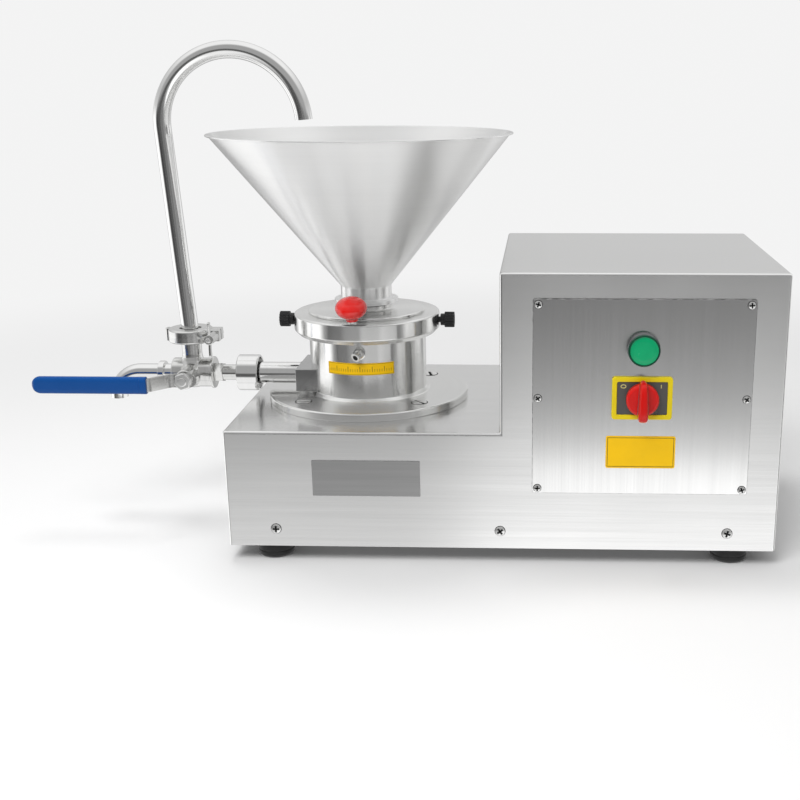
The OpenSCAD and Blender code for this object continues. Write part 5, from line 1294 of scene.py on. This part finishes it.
# Riser and arch in their own leaning plane: straight up, then x = R - R cos a, z = top + R sin a.
def makeReturnPipe(size):
    low, high, _ = cad("return_pipe")
    lean, r = math.radians(size["lean"]), size["arch"]
    top = (high[2] - low[2] - size["radius"] - r - r * math.sin(lean)) / math.cos(lean)
    rise = np.linspace(1.2, top, 24)
    a = np.linspace(0, math.radians(size["turn"]), 73)
    x = np.concatenate([0 * rise, r - r * np.cos(a[1:])])
    z = np.concatenate([rise, top + r * np.sin(a[1:])])
    path = np.stack([valve["x"] + x * math.cos(lean) - z * math.sin(lean), 0 * x,
                     low[2] + x * math.sin(lean) + z * math.cos(lean)], -1)
    tube = sweep(path, circle(size["radius"], 64), inner=circle(size["bore"], 64))
    f, b, h = size["ferrule"], size["bore"], size["plate"]
    ferrule = lathe([(b, 0), (f, 0), (f, h - 0.6), (f - 0.8, h), (b + 3, h), (b + 2, h + 0.8),
                     (b, h + 0.8)], radius=0.3, count=112)
    addPiece("returnPipe", [tube, placed(ferrule, (valve["x"], 0, low[2]))], pipeSteel, "return_pipe")


makeReturnPipe(returnPipe)

clamp = {"reach": 22.5, "bore": 11, "slit": 1.5, "lug": 9, "lugFrom": 17.5, "lugReach": 31.5,
         "hinge": (2.2, 3.5)}
bolt = {"head": 4.5, "headDepth": 3, "shank": 2.5}
wing = {"boss": 5, "bore": 2.55, "span": 18, "thickness": 2.4, "ear": 6}


# A hoop with a hinge pin on one side and two lugs with a slit between them on the other.
def makeClamp(size):
    low, high, _ = cad("pipe_clamp")
    z, r, h, x, b = low[2], size["reach"], high[2] - low[2], valve["x"], size["bore"]
    hoop = lathe([(b, 0), (r - 1.6, 0), (r, 1.4), (r, h - 1.4), (r - 1.6, h), (b, h)],
                 radius=0.7, count=144)
    pin, knuckle = size["hinge"]
    hinge = lathe([(0, 0), (pin, 0), (pin, 0.6), (knuckle, 0.6), (knuckle, h - 0.6), (pin, h - 0.6),
                   (pin, h), (0, h)], radius=0.4, count=40, closed=False)
    shells = [placed(hoop, (x, 0, z)), placed(hinge, (x - r, 0, z))]
    for side in (-1, 1):
        corners = ringProfile(size["lugFrom"], size["lugReach"], size["slit"] / 2, size["lug"])
        outline, _ = roundCorners(np.array(corners) * (1, side), 1.0, 3)
        shells.append(placed(plate(outline[::side], h - 2, 0.8), (x, 0, z + 1)))
    addPiece("pipeClamp", shells, castSteel, "pipe_clamp")


def makeClampBolt(size):
    low, high, mid = cad("clamp_bolt")
    long, r, s, deep = high[1] - low[1], size["head"], size["shank"], size["headDepth"]
    shape = lathe([(0, 0), (r, 0), (r, deep), (s, deep), (s, long - 0.5), (s - 0.5, long), (0, long)],
                  radius=0.6, count=48, closed=False)
    addPiece("clampBolt", [placed(shape, (mid[0], high[1], mid[2]), "front")], screwSteel, "clamp_bolt")


# A boss with two ears; each ear is a flat plate whose outline flares towards its round tip.
def makeWingNut(size):
    low, high, mid = cad("clamp_wing_nut")
    x, z, front, back = mid[0], mid[2], low[1], high[1]
    boss = lathe(ringProfile(size["bore"], size["boss"], 0, back - front), radius=0.8, count=56)
    shells = [placed(boss, (x, back, z), "front")]
    span, deep, thick = size["span"], front + size["ear"], size["thickness"]
    for side in (-1, 1):
        ear = np.array([(3.0, front + 1.0), (9.5, front + 0.6), (span - 0.6, front), (span, deep),
                        (9.5, deep - 0.7), (3.0, deep - 0.3)]) * (-side, 1)
        outline, _ = roundCorners(ear[::-side], 1.9, 5)
        shells.append(placed(plate(outline, thick, 0.7), (x - thick / 2, 0, z), "right"))
    addPiece("wingNut", shells, castSteel, "clamp_wing_nut")


makeClamp(clamp)
makeClampBolt(bolt)
makeWingNut(wing)
print("pipework ready")


# The finishes of the CAD nodes that stay.
finishes = {
    innerSteel: ("rotor", "stator", "valve_ball"),
    # the tray's dark steel is painted shade that deepens the shadow under the base
    undersideShadeSteel: ("base_tray",),
    machinedSteel: ("motor_shaft", "spindle", "spindle_nut", "spindle_bearings", "rotor_nut", "motor_bolts"),
    blackRubber: ("drive_belt", "shaft_seal"),
    blackPlastic: ("button_block", "switch_block", "motor_fan"),
    motorPaint: ("motor_flange", "motor_barrel", "fan_cover", "terminal_box"),
    bracketPaint: ("motor_bracket",),
    castIron: ("drive_pulley", "driven_pulley", "bearing_housing"),
}
for finish, names in finishes.items():
    for name in names:
        dress(frame["nodes"][name].data, finish)
print("finishes set")


# Metres, and brightness as a share of white; each lamp has its place, its watts and its width.
studio = {"floor": 9.0, "near": 0.45, "far": 1.6, "paper": 0.90, "white": 0.90, "room": 0.40,
          "sky": (0.05, 0.54), "frontFrom": 0.55, "brightest": 1.3, "aim": (-0.02, 0, 0.1),
          "lamps": [((-0.30, 0.26, 2.2), 15, 0.6), ((-0.6, -1.5, 1.9), 33, 1.2)]}


def grey(value):
    return (value, value, value, 1)


def stagePoint(x, y, z):
    return Vector(baseCentre * mm + (x, y, z))


# Paper that fades to white for the camera with the distance from the object, so that no horizon shows.
def makeFloor(size):
    s = size["floor"] / mm
    line = np.linspace(-s / 2, s / 2, 13)
    x, y = np.meshgrid(line, line)
    verts = np.stack([x.ravel(), y.ravel(), 0 * x.ravel() - 0.2], -1)
    faces, uv = gridFaces(13, 13, wrapCols=False)
    mesh = makeMesh("paperFloor", {"verts": verts, "faces": [(faces, uv)], "grain": 0 * verts,
                                   "edge": 0 * verts[:, 0]})
    material, tree, shader = startMaterial("paper")
    feed(tree, shader.inputs, {"Base Color": grey(size["paper"]), "Roughness": 0.9,
         "Specular IOR Level": 0.1})
    away = vectorMaths(tree, "DISTANCE", {0: position(tree), 1: tuple(baseCentre * mm)}, "Value")
    fade = addNode(tree, "ShaderNodeMapRange", {"Value": away, "From Min": size["near"],
                   "From Max": size["far"]}, interpolation_type="SMOOTHSTEP").outputs[0]
    seen = addNode(tree, "ShaderNodeLightPath").outputs["Is Camera Ray"]
    glow = addNode(tree, "ShaderNodeEmission", {"Color": grey(size["white"])})
    mixed = addNode(tree, "ShaderNodeMixShader", {0: maths(tree, "MULTIPLY", fade, seen),
                    1: shader.outputs[0], 2: glow.outputs[0]})
    tree.links.new(mixed.outputs[0], tree.nodes["Material Output"].inputs["Surface"])
    floor = linked("paperFloor", mesh, material)
    floor.visible_glossy = False


def vectorMaths(tree, operation, feeds, output=0):
    return addNode(tree, "ShaderNodeVectorMath", feeds, operation=operation).outputs[output]


# Brightness round the object for glossy rays, as (degrees from the camera's side, value): white walls,
# dark flags between them and a grey front.
ringLight = [(-180, 0.40), (-140, 0.42), (-126, 1.25), (-72, 1.25), (-64, 0.34), (-56, 0.18), (-36, 0.18),
             (-28, 0.30), (-14, 0.32), (-6, 0.30), (1, 0.66), (10, 0.56), (18, 0.58), (24, 0.60),
             (31, 0.95), (42, 0.78), (56, 0.80), (60, 0.16), (80, 0.17), (85, 1.0), (98, 1.0),
             (104, 0.26), (111, 0.26), (116, 1.0), (138, 1.0), (153, 0.7), (180, 0.5)]
# In front the light grows downwards: (height of the direction, a third of the gain).
frontGain = [(-0.42, 1.0), (-0.36, 0.95), (-0.325, 0.84), (-0.307, 0.40), (-0.265, 0.24), (-0.20, 0.14),
             (-0.13, 0.11)]
# Above the horizon: (height of the direction, value).
upperLight = [(0.0, 0.74), (0.10, 0.72), (0.19, 0.66), (0.29, 0.58), (0.45, 0.70), (0.80, 1.0)]


# A colour ramp through the stops, whose places run from low to high.
def rampOf(tree, factor, stops, low, high):
    made = addNode(tree, "ShaderNodeValToRGB", {0: factor})
    elements = made.color_ramp.elements
    elements.remove(elements[1])
    for i, (at, value) in enumerate(stops):
        spot = (at - low) / (high - low)
        element = elements[0] if i == 0 else elements.new(spot)
        element.position, element.color = spot, grey(value)
    return made.outputs[0]


# Mirrored rays see a tent of light, soft ones a dome that brightens upwards, the camera plain white.
def makeWorld(size):
    world = bpy.data.worlds.new("lightTent")
    bpy.context.scene.world = world
    world.use_nodes = True
    tree = world.node_tree
    tree.nodes.clear()
    direction = addNode(tree, "ShaderNodeTexCoord").outputs["Generated"]
    p = parts(tree, direction)
    # the angle round the object is atan2(x, -y), in turns from 0 to 1 with the camera's side at 0.5
    nearer = maths(tree, "MULTIPLY", p[1], -1.0)
    share = maths(tree, "MULTIPLY_ADD", maths(tree, "ARCTAN2", p[0], nearer), 1 / (2 * math.pi), 0.5)
    ringColour = rampOf(tree, share, ringLight, -180, 180)
    front = maths(tree, "GREATER_THAN", nearer, size["frontFrom"])
    lowest, highest = frontGain[0][0], frontGain[-1][0]
    slope = rampOf(tree, remap(tree, p[2], 0.0, 1.0, lowest, highest), frontGain, lowest, highest)
    slope = maths(tree, "MULTIPLY", slope, 3.0)
    gain = addNode(tree, "ShaderNodeMix", {0: front, 2: 1.0, 3: slope}).outputs[0]
    gained = vectorMaths(tree, "SCALE", {0: ringColour, "Scale": gain})
    limited = vectorMaths(tree, "MINIMUM", {0: gained, 1: (size["brightest"],) * 3})
    lower = mixColour(tree, remap(tree, p[2], 1.0, 0.0, -0.9, -0.5), limited, grey(1.0))
    raised = remap(tree, p[2], 0.0, 1.0, 0.02, 0.14)
    # the room behind the camera is dim; top faces see the lighter wall at the back
    ahead = remap(tree, p[1], 1.0, 0.0, -0.6, -0.3)
    level = mixColour(tree, ahead, rampOf(tree, p[2], upperLight, 0, 1), grey(size["room"]))
    glossy = mixColour(tree, raised, lower, level)
    path = addNode(tree, "ShaderNodeLightPath").outputs
    dome = maths(tree, "MULTIPLY_ADD", maths(tree, "MAXIMUM", p[2], 0.0), size["sky"][1], size["sky"][0])
    soft = addNode(tree, "ShaderNodeCombineXYZ", {0: dome, 1: dome, 2: dome}).outputs[0]
    plainColour = mixColour(tree, path["Is Glossy Ray"], soft, glossy)
    shown = mixColour(tree, path["Is Camera Ray"], plainColour, grey(size["white"]))
    back = addNode(tree, "ShaderNodeBackground", {"Color": shown, "Strength": 1.0})
    out = tree.nodes.new("ShaderNodeOutputWorld")
    tree.links.new(back.outputs[0], out.inputs["Surface"])
    world.cycles.sampling_method = "NONE"  # each kind of ray sees its own brightness


# A lamp above and a little behind draws the shadow forwards; a wider one fills the front.
def makeLamps(size):
    for i, (at, watts, wide) in enumerate(size["lamps"]):
        light = bpy.data.lights.new("softbox%d" % i, "AREA")
        light.energy, light.size = watts, wide
        lamp = linked("softbox%d" % i, light)
        lamp.location = stagePoint(*at)
        aim = stagePoint(*size["aim"]) - lamp.location
        lamp.rotation_euler = aim.to_track_quat("-Z", "Y").to_euler()
        lamp.visible_glossy = False


makeFloor(studio)
makeWorld(studio)
makeLamps(studio)

view = {"location": (0.040609, -1.190088, 0.454883), "turn": 0.0371, "pitch": 0.2864, "roll": -0.0026,
        "lens": 53.67, "shift": (-0.1266, 0.0242)}


def makeCamera(size):
    data = bpy.data.cameras.new("photoCamera")
    data.lens, data.sensor_width = size["lens"], 36
    data.shift_x, data.shift_y = size["shift"]
    camera = linked("photoCamera", data)
    turn = (Matrix.Rotation(size["turn"], 4, "Z") @ Matrix.Rotation(math.pi / 2 - size["pitch"], 4, "X")
            @ Matrix.Rotation(size["roll"], 4, "Z"))
    camera.matrix_world = Matrix.Translation(stagePoint(*size["location"])) @ turn
    bpy.context.scene.camera = camera


makeCamera(view)
bpy.context.scene.view_settings.view_transform = "Standard"
